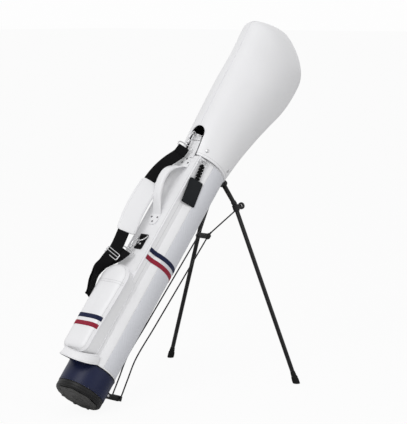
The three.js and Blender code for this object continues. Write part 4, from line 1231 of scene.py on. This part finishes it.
# %% D-rings
def d_ring(middle, across, down, width, drop, radius):
    half = width / 2
    points = [middle + across * (t * half) for t in (-1, -0.33, 0.33)]
    for k in range(7):
        a = k * math.pi / 7 + 0.12
        points.append(middle + across * (half * math.cos(a)) + down * (drop * math.sin(a) ** 0.7))
    return wire([place(*p) for p in smooth_line(points, 7, closed=True)], radius / 1000, 14, closed=True)


LOWER_DOWN = Vector((-0.36, 0, -0.93)).normalized()
UPPER_DOWN = Vector((-0.8, 0, -0.2)).normalized()
SIDEWAYS = Vector((0, 1, 0))


def make_rings():
    patch = slab(place(-76.2, 0, 467), way(0, 1, 0), way(0, 0, 1), 0.029, 0.05, 0.0018, 0.004)
    add("patch_webbing", patch, black_webbing, replaces=["ring_patch"])
    edge = [(12.2, 22.6), (-12.2, 22.6), (-12.2, -22.6), (12.2, -22.6), (12.2, 22.6)]
    rows = []
    for (y0, l0), (y1, l1) in zip(edge, edge[1:]):
        rows.append([place(-77.2, y0 + (y1 - y0) * k / 12, 467 + l0 + (l1 - l0) * k / 12) for k in range(13)])
    stitches("patch_stitches", rows, black_thread)
    rivets("patch_rivet_dome", [(place(-77.4, 0, 459), way(-1, 0, 0))], 0.0036, 0.0019, nickel,
           replaces=["patch_rivet"])
    keeper = slab(place(-79.2, 0, 485.5), way(0, 1, 0), way(0, 0, 1), 0.024, 0.009, 0.0042, 0.002, edge=0.001)
    add("ring_keeper", keeper, black_webbing)
    add("ring_lower_wire", d_ring(Vector((-79, 0, 485)), SIDEWAYS, LOWER_DOWN, 30, 24, 1.6), nickel,
        replaces=["ring_lower"])
    add("ring_upper_wire", d_ring(Vector((-84, 0, 835.9)), SIDEWAYS, UPPER_DOWN, 38, 17, 1.7), nickel,
        replaces=["ring_upper"])


def make_ring_tab():
    """The leather tab that stands up from the rim and folds over the upper ring."""
    foot = Vector((-76.7, 0, RIM - 8))
    points = [foot, Vector((-76.8, 0, RIM + 14)), Vector((-81, 0, 812)), Vector((-82.6, 0, 830)),
              Vector((-83.2, 0, 837.6)), Vector((-85.4, 0, 838.8)), Vector((-86.6, 0, 834)),
              Vector((-85.8, 0, 822))]
    line = [place(*p) for p in smooth_line(points, 7)]
    across = [way(0, 1, 0)] * len(line)
    add("ring_tab_leather", band(line, across, 0.036, 0.0017, corner=5), white_leather,
        replaces=["ring_tab"])
    rows = [[place(-87.1, -15 + 30 * k / 12, 826.5) for k in range(13)]]
    rows += [[place(-77.8, y, RIM - 4 + 18 * k / 8) for k in range(9)] for y in (-15.6, 15.6)]
    stitches("ring_tab_stitches", rows, white_thread)


make_rings()
make_ring_tab()

# %% Snap hooks
ACROSS = Vector((0.7, -0.7, -0.1)).normalized()
TAIL_ACROSS = Vector((0.9, 0.3, 0)).normalized()
UPPER_EYE = Vector((-102, 15, 753))
LOWER_EYE = Vector((-113, 13, 391))


def snap_hook(name, start, eye_at):
    along = (eye_at - start).normalized()
    opening = along.cross(SIDEWAYS).normalized()

    def on(a, o):
        return start + along * a + opening * o
    r = 7.0
    points = [on(24, -2), on(20, -4.6), on(14, -r), on(6, -r)]
    points += [on(-r * math.sin(math.pi * t), -r * math.cos(math.pi * t)) for t in (0.2, 0.5, 0.8, 1)]
    points.append(on(3, r))
    jaw = wire([place(*p) for p in smooth_line(points, 7)], 0.0021, 14)
    swivel = []
    for a0, a1, radius in ((21.5, 24.5, 4.9), (24.5, 30.5, 4.2), (30.5, 34, 4.9), (33.5, 40.5, 2.3),
                           (39.4, 42, 3.6)):
        swivel.append(barrel(place(*on(a0, 0)), place(*on(a1, 0)), radius / 1000, 20, edge=0.0007))
    low = on(40, 0)
    half = 34 / 2 + 3.5
    corners = [(-half, 3), (-half, 11), (0, 13), (half, 11), (half, 3), (0, 0)]
    loop = [low + ACROSS * x + along * y for x, y in corners]
    eye = wire([place(*p) for p in smooth_line(loop, 9, closed=True)], 0.0018, 12, closed=True)
    add(f"snap_hook_{name}_metal", joined(jaw, eye, *swivel), nickel, replaces=[f"snap_hook_{name}"],
        sharp=45)
    gate = barrel(place(*on(6.7, r)), place(*on(21.0, r - 2.4)), 0.0015, 14, edge=0.0005)
    thumb = barrel(place(*on(12, r + 0.4)), place(*on(12, r + 3.2)), 0.0013, 12, edge=0.0004)
    add(f"hook_gate_{name}_metal", joined(gate, thumb), nickel, f"gate_{name}", [f"hook_gate_{name}"])
    return low + along * 13, along


upper_start = Vector((-84, 0, 835.9)) + UPPER_DOWN * 17 + Vector((0, 2, 0))
lower_start = Vector((-79, 0, 485)) + LOWER_DOWN * 24 + Vector((0, 4, 0))
upper_bar, upper_along = snap_hook("upper", upper_start, UPPER_EYE)
lower_bar, lower_along = snap_hook("lower", lower_start, LOWER_EYE)


# %% Webbing and shoulder pad
def strap_across(point):
    """The strap's width, which turns edge-on as it passes the pocket."""
    turn = min(max((386 - point.z) / (386 - 322), 0), 1)
    return ACROSS.lerp(TAIL_ACROSS, turn).normalized()


def fold_over(bar, along, across):
    """Points where the webbing comes up behind a bar and folds over it."""
    out = along.cross(across).normalized()
    return [bar + along * 22 + out * 2.2, bar + along * 6 + out * 3.0, bar - along * 1.6 + out * 2.6,
            bar - along * 3.3, bar - along * 1.6 - out * 2.6, bar + along * 6 - out * 2.0]


def web(name, points, per_span, node=None):
    line = smooth_line(points, per_span)
    across = [way(*strap_across(p)) for p in line]
    shape = band([place(*p) for p in line], across, 0.034, 0.0018)
    add(name, shape, black_webbing, replaces=[node] if node else [])
    return line


PAD_TOP = Vector((-131, 35, 637))
PAD_BOTTOM = Vector((-129, 28, 464))
PAD_SHIFT = 6.5  # the webbing runs along one side of the pad


def make_pad():
    middle = [PAD_TOP, Vector((-134, 36, 582)), Vector((-135, 33, 523)), PAD_BOTTOM]
    line = smooth_line([p + ACROSS * PAD_SHIFT for p in middle], 22)
    across = [way(*ACROSS)] * len(line)

    def swell(t, width, thickness):
        end = min(t, 1 - t)
        taper = min(1.0, end / 0.055)
        round_off = math.sqrt(max(0.0, 1 - (1 - taper) ** 2))
        return width * (0.72 + 0.28 * round_off), thickness * (0.42 + 0.58 * min(1.0, end / 0.09) ** 0.6)
    shape = band([place(*p) for p in line], across, 0.056, 0.011, radius=0.0048, corner=7, swell=swell)
    pad = add("shoulder_pad", shape, white_leather, replaces=["strap_pad"])
    ways = tangents(line)
    rows, edges = [], []
    for side in (-1, 1):
        for face in (-1, 1):
            row = []
            for i, (p, t) in enumerate(zip(line, ways)):
                if 4 < i < len(line) - 5:
                    n = t.cross(ACROSS).normalized()
                    row.append(place(*(p + ACROSS * (side * 23.5) + n * (face * 5.3))))
            rows.append(row)
        edge = [place(*(p + ACROSS * (side * 27.8))) for p in line[4:-4]]
        edges.append(wire(edge, 0.0013, 8))
    stitches("pad_stitches", rows, white_thread)
    add("pad_piping", joined(*edges), white_piping)
    return line


def make_strap():
    pad_line = make_pad()
    pad_up = (pad_line[0] - pad_line[2]).normalized()
    pad_down = (pad_line[-1] - pad_line[-3]).normalized()
    upper = fold_over(upper_bar, upper_along, ACROSS)
    upper += [upper_bar + upper_along * 20, Vector((-116, 24, 720)), Vector((-123, 34, 684)),
              PAD_TOP + pad_up * 9, PAD_TOP - pad_up * 6]
    web("webbing_upper", upper, 6, "strap_web_upper")
    lower = [PAD_BOTTOM - pad_down * 6, PAD_BOTTOM + pad_down * 2, Vector((-128, 22, 400)),
             Vector((-128, 32, 365)), Vector((-118, 51, 330)), Vector((-111, 53, 300)),
             Vector((-99, 55, 276)), Vector((-96, 56.5, 263)), Vector((-96, 61.5, 263)),
             Vector((-99, 63, 276)), Vector((-111, 64, 306)), Vector((-114, 60, 346)),
             lower_bar + lower_along * 18]
    lower += fold_over(lower_bar, lower_along, ACROSS)[::-1]
    return web("webbing_lower", lower, 6, "strap_web_lower")


def make_slider(line):
    """The three-bar slider that sets the strap's length."""
    low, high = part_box("strap_slider")
    middle = (Vector(low) + Vector(high)) / 2
    spot = min(range(2, len(line) - 2), key=lambda i: (place(*line[i]) - middle).length)
    along = (place(*line[spot + 1]) - place(*line[spot - 1])).normalized()
    across = way(*strap_across(line[spot]))
    face = across.cross(along).normalized()
    across = along.cross(face).normalized()
    here = place(*line[spot])
    outline = [here + across * (x / 1000) + along * (y / 1000) for x, y in flat_section(41, 18, 3.5, 6)]
    bar_at = [here + across * x - face * 0.0026 for x in (-0.0205, 0.0205)]
    shape = joined(wire(outline, 0.0016, 12, closed=True), wire(bar_at, 0.0014, 12))
    add("strap_slider_metal", shape, nickel, replaces=["strap_slider"])


make_slider(make_strap())
print("rings, hooks and strap")

# %% [markdown]
# ## The name tag
# A plain dark plate on a stitched strap of short segments, hung from a small ring beside the panel. It is
# left without any lettering.

# %% Name tag
def make_tag():
    facing = math.radians(-110)
    out = Vector((math.cos(facing), math.sin(facing), 0))
    tangent = Vector((-out.y, out.x, 0))
    turn = math.radians(8)
    down = tangent * math.sin(turn) + Vector((0, 0, -math.cos(turn)))
    side = down.cross(out).normalized()
    anchor = tangent * -40.6 + Vector((0, 0, 764))
    lift = TUBE_R + 0.3 + 1.5

    def on(distance, drop, aside=0.0):
        return anchor + out * distance + down * drop + side * aside
    tab = slab(place(*on(lift - 1.3 - 0.3 - 1.9, -4)), way(*tangent), way(0, 0, 1), 0.014, 0.009, 0.0036,
               0.002, edge=0.0009)
    add("tag_tab_leather", tab, white_leather, replaces=["tag_tab"])
    add("tag_ring_wire", d_ring(on(lift, -2), side, down, 22, 13, 1.5), nickel, "tag", ["tag_ring"])
    top, low = 12.6, 60.0
    links = []
    count = 5
    pitch = (low - top) / count
    for k in range(count):
        middle = on(lift, top + pitch * (k + 0.5))
        links.append(slab(place(*middle), way(*side), way(*down), 0.0155, (pitch - 2.2) / 1000, 0.0042,
                          0.0014, edge=0.0008))
    core = slab(place(*on(lift, (top + low) / 2 + 1)), way(*side), way(*down), 0.0066,
                (low - top + 1.5) / 1000, 0.0016, 0.0006)
    fold = [place(*p) for p in smooth_line([on(lift + 0.9, 16), on(lift + 2.0, 11.6), on(lift, 9.2),
                                            on(lift - 1.6, 11.6), on(lift - 0.9, 16)], 6)]
    loop = band(fold, [way(*side)] * len(fold), 0.0076, 0.001, corner=3)
    add("tag_strap_links", joined(core, loop, *links), black_webbing, "tag", ["tag_strap"])
    centre = on(lift, 60.3 + 39.5)
    plate = slab(place(*centre), way(*side), way(*down), 0.045, 0.079, 0.003, 0.0045, edge=0.0007)
    border = [place(*(centre + side * x + down * y + out * 1.5)) for x, y in flat_section(41, 75, 3.5, 7)]
    frame_line = wire(border, 0.0005, 8, closed=True)
    add("tag_plate_moulding", joined(plate, frame_line), tag_plastic, "tag", ["tag_plate"])


make_tag()
print("name tag")

# %% [markdown]
# ## The stand
# Two legs turn on pins in a bracket under the rim. A wire runs from each leg down to the toe lever under the
# base: when the lever is pressed by the ground, the wires push the legs out. Everything here stands at its
# opened-out place.

# %% Legs
HINGE = Vector((78, 22, 787))
ELBOW = Vector((127, 55, 752))
FOOT = Vector((512.05, 250, 401.11))
AXLE = Vector((-0.45180, 0.89212, 0))
FLOOR_UP = Vector((-math.sin(LEAN), 0, math.cos(LEAN)))


def mirrored(point, side):
    return Vector((point.x, point.y * side, point.z))


def sleeve(start, end, outer, inner, sides=36):
    """An open pipe: out along the outside, back along the inside."""
    along = (end - start).normalized()
    length = (end - start).length
    edge = 0.0006
    profile = [(outer - edge, 0), (outer, edge), (outer, length - edge), (outer - edge, length),
               (inner, length), (inner, 0)]
    helper = Vector((0, 0, 1)) if abs(along.z) < 0.9 else Vector((1, 0, 0))
    u = along.cross(helper).normalized()
    v = along.cross(u).normalized()
    rings = []
    for k in range(sides):
        a = 2 * math.pi * k / sides
        rings.append([start + along * d + (u * math.cos(a) + v * math.sin(a)) * r for r, d in profile])
    return facing_out(*loft(rings, closed=True))


def eye_ring(middle, axis, outer, inner, thickness):
    """A flat ring: a sleeve so short that it is a washer."""
    return sleeve(middle - axis * (thickness / 2), middle + axis * (thickness / 2), outer, inner)


def make_leg(side):
    word = "left" if side > 0 else "right"
    body = f"leg_{word}"
    hinge, elbow, foot, axle = (mirrored(p, side) for p in (HINGE, ELBOW, FOOT, AXLE))
    if side < 0:
        axle = -axle
    along = (foot - elbow).normalized()
    outward = along.cross(axle).normalized()
    if outward.z < 0:
        outward = -outward
    pin = joined(barrel_along(hinge, axle, -13.6, 13.6, 0.0025, 20, edge=0.0004),
                 barrel_along(hinge, axle, -15.0, -13.2, 0.0042, 24, edge=0.0007),
                 barrel_along(hinge, axle, 13.2, 15.0, 0.0042, 24, edge=0.0007))
    add(f"hinge_pin_{word}_metal", pin, black_coat, replaces=[f"leg_pin_{word}"])
    knuckle = [barrel_along(hinge, axle, -7.6, 7.6, 0.0076, 32, edge=0.0009),
               barrel(place(*hinge), place(*elbow), 0.0072, 32, edge=0.0006, end_radius=0.0064),
               barrel(place(*(elbow - (elbow - hinge).normalized() * 9)), place(*elbow), 0.0079, 32,
                      edge=0.001),
               barrel_along(elbow, along, -3, 1.6, 0.0078, 32, edge=0.001)]
    add(f"knuckle_{word}_moulding", joined(*knuckle), black_plastic, body, [f"leg_knuckle_{word}"],
        sharp=40)
    tube = barrel(place(*(elbow + along * 1.7)), place(*(foot - along * 36)), 0.0063, 40, edge=0.0006)
    add(f"leg_tube_{word}_coat", tube, black_coat, body, [f"leg_tube_{word}"])
    start = elbow + along * 2.3
    clip_low, clip_high = place(*start), place(*(start + along * 20))
    ear = start + along * (20 * 0.42) + outward * 20
    parts = [sleeve(clip_low, clip_high, 0.0092, 0.00655)]
    for k in (0.16, 0.5, 0.84):
        at = start + along * (20 * k)
        parts.append(sleeve(place(*(at - along * 1.1)), place(*(at + along * 1.1)), 0.0098, 0.0090))
    parts.append(eye_ring(place(*ear), way(*axle), 0.0105, 0.0045, 0.005))
    parts.append(slab(place(*(start + along * (20 * 0.42) + outward * 11.2)), way(*along), way(*outward),
                      0.0135, 0.007, 0.0048, 0.001, edge=0.0008))
    add(f"rod_clip_{word}_moulding", joined(*parts), black_plastic, body, [f"leg_clip_{word}"],
        sharp=40)
    add(f"foot_{word}_rubber", foot_shape(foot, along), rubber, body, [f"leg_foot_{word}"],
        sharp=40)


def foot_shape(foot, along):
    """The rubber foot: a flared, ridged plug cut off level with the ground."""
    helper = FLOOR_UP.cross(along).normalized()
    second = along.cross(helper).normalized()
    floor_level = FLOOR_UP.dot(foot)
    profile = [(-35.7, 6.8), (-35.2, 7.2), (-29, 7.4), (-28.6, 8.0), (-26.6, 8.1), (-26.2, 7.6), (-24, 7.7),
               (-22, 8.6), (-19.0, 9.6), (-15.6, 9.9), (-15.2, 9.4), (-14.0, 9.4), (-13.6, 9.9),
               (-11.6, 10.1), (-10, 10.2)]
    rings = []
    count = 40
    for shift, radius in profile:
        ring = []
        for k in range(count):
            a = 2 * math.pi * k / count
            ring.append(foot + along * shift + (helper * math.cos(a) + second * math.sin(a)) * radius)
        rings.append(ring)
    sole = []
    for k in range(count):
        a = 2 * math.pi * k / count
        radial = (helper * math.cos(a) + second * math.sin(a)) * 10.2
        start = foot + along * -10 + radial
        reach = (floor_level - FLOOR_UP.dot(start)) / FLOOR_UP.dot(along)
        sole.append(start + along * max(reach, 0.2))
    middle = sum(sole, Vector()) / count
    rings.append([p + (middle - p).normalized() * 0.05 - along * 0.9 for p in sole])
    rings.append([p + (middle - p).normalized() * 0.9 for p in sole])
    placed = [[place(*p) for p in ring] for ring in rings]
    return facing_out(*loft(placed))


def make_leg_bracket():
    """The moulded saddle round the rim that carries both hinges."""
    spread = math.radians(34)
    steps = 30
    low, high = 765.0, 803.0
    inner, outer = 67.3, 71.3
    outline = [(inner, low + 1), (inner + 1, low), (outer - 1.2, low), (outer, low + 1.2),
               (outer, high - 1.2), (outer - 1.2, high), (inner + 1, high), (inner, high - 1)]
    rings = []
    for k in range(steps + 1):
        a = -spread + 2 * spread * k / steps
        rings.append([place(r * math.cos(a), r * math.sin(a), l) for r, l in outline])
    parts = [facing_out(*loft(rings))]
    for rib_l in (low + 4, high - 4):
        rib = [place((outer + 0.2) * math.cos(-spread + 2 * spread * k / steps),
                     (outer + 0.2) * math.sin(-spread + 2 * spread * k / steps), rib_l)
               for k in range(1, steps)]
        parts.append(wire(rib, 0.0011, 8))
    for side in (1, -1):
        hinge, axle = mirrored(HINGE, side), mirrored(AXLE, side)
        root = hinge + Vector((-11, -3 * side, 0))
        for shift in (-10.4, 10.4):
            ear = hinge + axle * shift
            near = root + axle * shift
            parts.append(barrel_along(ear, axle, -1.9, 1.9, 0.008, 30, edge=0.0008))
            middle = (ear + near) / 2
            reach = (ear - near)
            parts.append(slab(place(*middle), way(*reach.normalized()), way(0, 0, 1),
                              reach.length / 1000 + 0.002, 0.0158, 0.0038, 0.002, edge=0.0007))
    add("leg_bracket_moulding", joined(*parts), black_plastic, replaces=["leg_bracket"],
        sharp=40)


make_leg_bracket()
for side in (1, -1):
    make_leg(side)

# %% Toe lever and push rods
LEVER_PIVOT = Vector((82, 0, 58))
LEVER_TIP = Vector((131, 0, 77))
TOE = (LEVER_TIP - LEVER_PIVOT).normalized()
UNDER = TOE.cross(Vector((0, 1, 0))).normalized()  # away from the push rods
if UNDER.z > 0:
    UNDER = -UNDER


def make_lever():
    side = Vector((0, 1, 0))
    back = slab(place(68.9, 0, 53.5), way(0, 1, 0), way(0, 0, 1), 0.0398, 0.0266, 0.0092, 0.002, edge=0.001)
    ears = []
    for s in (-1, 1):
        ear = LEVER_PIVOT + side * (15.8 * s)
        ears.append(barrel_along(ear, side, -2.2, 2.2, 0.009, 32, edge=0.0008))
        ears.append(slab(place(75.5, 15.8 * s, 57), way(1, 0, 0), way(0, 0, 1), 0.012, 0.017, 0.0044, 0.001,
                         edge=0.0007))
    add("lever_bracket_moulding", joined(back, *ears), black_plastic, replaces=["lever_bracket"],
        sharp=40)
    pin = joined(barrel_along(LEVER_PIVOT, side, -18.2, 18.2, 0.0025, 20, edge=0.0004),
                 barrel_along(LEVER_PIVOT, side, -19.2, -17.9, 0.004, 24, edge=0.0006),
                 barrel_along(LEVER_PIVOT, side, 17.9, 19.2, 0.004, 24, edge=0.0006))
    add("lever_pin_metal", pin, nickel, replaces=["lever_pin"])
    reach = LEVER_TIP - LEVER_PIVOT
    parts = [barrel_along(LEVER_PIVOT, side, -12.9, 12.9, 0.008, 36, edge=0.001),
             barrel_along(LEVER_TIP, side, -12.9, 12.9, 0.008, 36, edge=0.001),
             slab(place(*(LEVER_TIP + TOE * 3.5)), way(*TOE), way(0, 1, 0), 0.019, 0.0256, 0.0150, 0.003,
                  edge=0.0015),
             slab(place(*(LEVER_PIVOT.lerp(LEVER_TIP, 0.62) + UNDER * 3.0)), way(*TOE), way(0, 1, 0), 0.042,
                  0.0240, 0.0120, 0.003, edge=0.0015),
             slab(place(*((LEVER_PIVOT + LEVER_TIP) / 2)), way(*reach.normalized()), way(0, 1, 0),
                  reach.length / 1000, 0.0256, 0.0118, 0.001, edge=0.0009)]
    for k in range(5):
        at = LEVER_PIVOT + reach * (0.28 + 0.11 * k)
        out = reach.normalized().cross(side).normalized()
        for face in (-1, 1):
            end = at + out * (5.7 * face)
            parts.append(barrel_along(end, side, -10.4, 10.4, 0.0010, 10, edge=0.0003))
    add("foot_lever_moulding", joined(*parts), black_plastic, "lever", ["foot_lever"],
        sharp=40)


def make_rods():
    bend, bridge = Vector((110, 17, 193)), Vector((130, 18, 627))
    for side in (1, -1):
        word = "left" if side > 0 else "right"
        points = [LEVER_TIP + Vector((0, 7 * side, 0)), LEVER_TIP + Vector((0, 13 * side, 0)),
                  LEVER_TIP + Vector((-0.5, 15.9 * side, 2.5)), LEVER_TIP + Vector((-1.0, 16.6 * side, 7)),
                  LEVER_TIP.lerp(mirrored(bend, side), 0.5) + Vector((0, 8.0 * side, 0)),
                  mirrored(bend, side), mirrored(bend.lerp(bridge, 0.25), side),
                  mirrored(bend.lerp(bridge, 0.5), side), mirrored(bend.lerp(bridge, 0.75), side),
                  mirrored(bridge, side)]
        line = [place(*p) for p in smooth_line(points, 8)]
        add(f"push_rod_{word}_wire", wire(line, 0.0021, 14), black_coat, "push_frame", [f"push_rod_{word}"])
    run = (bridge - bend)
    run.y = 0
    run.normalize()
    middle = Vector((bridge.x, 0, bridge.z)) + run * 6.3
    parts = [slab(place(*middle), way(0, 1, 0), way(*run), 0.050, 0.014, 0.0095, 0.003, edge=0.001)]
    for s in (-1, 1):
        at = middle + Vector((0, 18 * s, 0))
        parts.append(barrel_along(at, run, -8.2, 8.2, 0.0055, 28, edge=0.0006))
    add("rod_bridge_moulding", joined(*parts), black_plastic, "push_frame", ["rod_bridge"],
        sharp=40)
    for side in (1, -1):
        make_rod_tip(side, bridge, run)


def make_rod_tip(side, bridge, run):
    """The wire's last run, from the bridge to an eye on the leg's clip."""
    word = "left" if side > 0 else "right"
    elbow, foot, axle = mirrored(ELBOW, side), mirrored(FOOT, side), mirrored(AXLE, side)
    if side < 0:
        axle = -axle
    along = (foot - elbow).normalized()
    outward = along.cross(axle).normalized()
    if outward.z < 0:
        outward = -outward
    ear = elbow + along * (2.3 + 20 * 0.42) + outward * 20
    facing = axle * side
    eye_middle = ear - facing * (4.5 + 1.7)
    start = Vector((bridge.x, 18 * side, bridge.z)) + run * 14.3
    end = ear - facing * 6.2
    rod = barrel(place(*start), place(*(end - (end - start).normalized() * 3.4)), 0.0021, 14, edge=0.0003)
    eye = eye_ring(place(*eye_middle), way(*facing), 0.005, 0.0019, 0.0034)
    hub = barrel_along(eye_middle, facing, -1.6, 1.6, 0.0021, 16, edge=0.0003)
    ferrule = barrel(place(*(start + (end - start).normalized() * 0.6)),
                     place(*(start + (end - start).normalized() * 9)), 0.0027, 18, edge=0.0005)
    add(f"rod_tip_{word}_wire", joined(rod, eye, hub, ferrule), black_coat, f"tip_{word}",
        [f"rod_tip_{word}"], sharp=45)


make_lever()
make_rods()
print("stand")

# %% [markdown]
# ## The club hood
# The hood is a shell of soft leather over the clubs. Its leather is one loft outside and its lining one loft
# inside, joined at the hem. The hem has an arched opening in front and a notch over the handle side, both
# bound in tape.

# %% Hood shape
HOOD = [  # height along the tube, front, back, half width
    (778, -84, 70.1, 71.8), (814, -93, 76, 75), (870, -100, 86, 77), (950, -105, 106, 81),
    (1032, -109, 130, 84), (1100, -112, 152, 85), (1150, -114, 161, 84), (1200, -118, 163, 82),
    (1226, -122, 162, 79), (1242, -122, 156, 75), (1257, -109, 141, 69), (1270, -90, 126, 60),
    (1285, -64, 107, 47), (1300, -33, 84, 32), (1312, -4, 66, 19), (1319, 18, 52, 9),
]
HOOD_SIDES = 96
HOOD_WALL = 3.0
ARCH_HALF, ARCH_TOP = 27.0, 868.0
NOTCH_HALF, NOTCH_TOP = 44.0, 812.0


def hood_stations(rows):
    """The hood's measures at many heights, on smooth curves through the ones above."""
    line = smooth_line([Vector((s[0], s[1], s[2])) for s in HOOD], rows)
    widths = smooth_line([Vector((s[0], s[3], 0)) for s in HOOD], rows)
    return [(p.x, p.y, p.z, w.y) for p, w in zip(line, widths)]


def hem_height(y, front_side):
    """How far up the hem is cut away beside the middle: an arch in front, a notch behind."""
    foot = HOOD[0][0]
    if front_side:
        if abs(y) >= ARCH_HALF:
            return foot
        spring = ARCH_TOP - ARCH_HALF
        return spring + math.sqrt(ARCH_HALF ** 2 - y ** 2)
    if abs(y) >= NOTCH_HALF:
        return foot
    return NOTCH_TOP


def slack(angle, l):
    """The soft leather's shallow waves: none at the hem, where studs hold it, and most on the upper half."""
    grow = min(max((l - 850) / 250, 0), 1)
    wave = math.sin(3 * angle + 0.012 * l + 0.6) + 0.6 * math.sin(5 * angle - 0.019 * l)
    wave += 0.5 * math.sin(0.033 * l + 2 * angle)
    return 0.9 * grow * wave


def hood_point(station, angle, inset):
    l, front, back, half = station
    middle = (front + back) / 2
    reach = max((back - front) / 2 - inset, 1)
    width = max(half - inset, 1)
    loose = slack(angle, l)
    return (middle + (reach + loose) * math.cos(angle), (width + loose) * math.sin(angle), l)


# %% Hood leather and lining
def station_at(stations, l):
    for before, after in zip(stations, stations[1:]):
        if before[0] <= l <= after[0]:
            t = (l - before[0]) / max(after[0] - before[0], 1e-6)
            return tuple(a + (b - a) * t for a, b in zip(before, after))
    return stations[-1] if l > stations[-1][0] else stations[0]


def hood_columns():
    """Angles round the hood and the hem height of each; an upright edge has two columns side by side."""
    hem_half = HOOD[0][3] + 3
    columns = [(2 * math.pi * k / HOOD_SIDES, False) for k in range(HOOD_SIDES)]
    found = []
    for a, _ in columns:
        found.append((a, hem_height(hem_half * math.sin(a), math.cos(a) < 0)))
    for half, front_side in ((ARCH_HALF, True), (NOTCH_HALF, False)):
        for s in (-1, 1):
            a = math.asin(s * half / hem_half)
            a = (math.pi - a if front_side else a) % (2 * math.pi)
            inner = hem_height((half - 0.01) * s, front_side)
            toward = 1 if (math.sin(a + 0.01) * s < math.sin(a) * s) else -1
            found.append(((a + toward * 0.0012) % (2 * math.pi), inner))
            found.append(((a - toward * 0.0012) % (2 * math.pi), HOOD[0][0]))
    clear = 0.018
    edges = [f for f in found[HOOD_SIDES:]]
    kept = [f for f in found[:HOOD_SIDES] if all(abs(f[0] - e[0]) > clear for e in edges)]
    return sorted(kept + edges)


def hood_grid(stations, columns, inset, crown):
    top = HOOD[-1][0] - crown
    level = 905.0
    rows_low, rows_high = 14, 66
    rings = []
    for i in range(rows_low + rows_high + 1):
        ring = []
        for angle, hem in columns:
            if i <= rows_low:
                l = hem + (level - hem) * i / rows_low
            else:
                l = level + (top - level) * math.sin(math.pi / 2 * (i - rows_low) / rows_high)
            ring.append(place(*hood_point(station_at(stations, l), angle, inset)))
        rings.append(ring)
    last = station_at(stations, top)
    for shrink, lift in ((0.75, 1.0), (0.45, 1.8), (0.12, 2.1)):
        middle = (last[1] + last[2]) / 2
        ring = []
        for angle, _ in columns:
            e, y, l = hood_point((top, last[1], last[2], last[3]), angle, inset)
            ring.append(place(middle + (e - middle) * shrink, y * shrink, l + lift))
        rings.append(ring)
    return rings


def make_hood():
    stations = hood_stations(10)
    columns = hood_columns()
    outer = hood_grid(stations, columns, 0, 0)
    inner = hood_grid(stations, columns, HOOD_WALL - 0.3, HOOD_WALL)
    count = len(columns)
    rings = outer[::-1] + inner
    verts, faces, uvs = facing_out(*loft(rings))
    materials = [white_leather, black_lining]
    first_inner = len(outer) * count
    chosen = [1 if all(i >= first_inner for i in face) else 0 for face in faces]
    hood = make_piece("hood_leather", verts, faces, materials, uvs, chosen, sharp=50)
    settle(hood, "hood", ["hood_shell"])
    hem = []
    for outside, inside in zip(outer[0], inner[0]):
        hem.append((outside + inside) / 2)
    add("hood_hem_binding", wire(hem, 0.0017, 10, closed=True), white_piping, "hood")
    rows = []
    run = []
    for angle, foot in columns:
        if foot == HOOD[0][0]:
            station = station_at(stations, foot + 6)
            e, y, l = hood_point(station, angle, -0.25)
            run.append(place(e, y, l))
        else:
            if len(run) > 4:
                rows.append(run[1:-1])
            run = []
    if len(run) > 4:
        rows.append(run[1:-1])
    stitches("hood_hem_stitches", rows, white_thread, "hood")
    return stations


def hood_seam(stations, angle, low, high, inset=-0.4, steps=90):
    return [place(*hood_point(station_at(stations, low + (high - low) * k / steps), angle, inset))
            for k in range(steps + 1)]


def make_hood_seams(stations):
    """A piped seam up the back and over the crown, and the studs that hold the hem."""
    seams = [hood_seam(stations, 0.0, NOTCH_TOP + 3, HOOD[-1][0] - 1),
             hood_seam(stations, math.pi, ARCH_TOP + 3, HOOD[-1][0] - 1)]
    add("hood_piping", joined(*[wire(seam, 0.0011, 8) for seam in seams]), white_piping, "hood")
    hem, above = HOOD[0], HOOD[1]
    spots = []
    for degrees in (-139, -67, 67, 139):
        a = math.radians(degrees)

        def at(section, angle):
            l, front, back, half = section
            return Vector(((front + back) / 2 + (back - front) / 2 * math.cos(angle),
                           half * math.sin(angle), l))
        low, high = at(hem, a), at(above, a)
        normal = (at(hem, a + 0.01) - low).cross(high - low).normalized()
        spot = low.lerp(high, 0.55)
        spots.append((place(*spot), way(*normal)))
    rivets("hood_press_studs", spots, 0.006, 0.0026, nickel, body="hood",
           replaces=[f"hood_stud_{k}" for k in range(1, 5)])


make_hood_seams(make_hood())
print("hood")
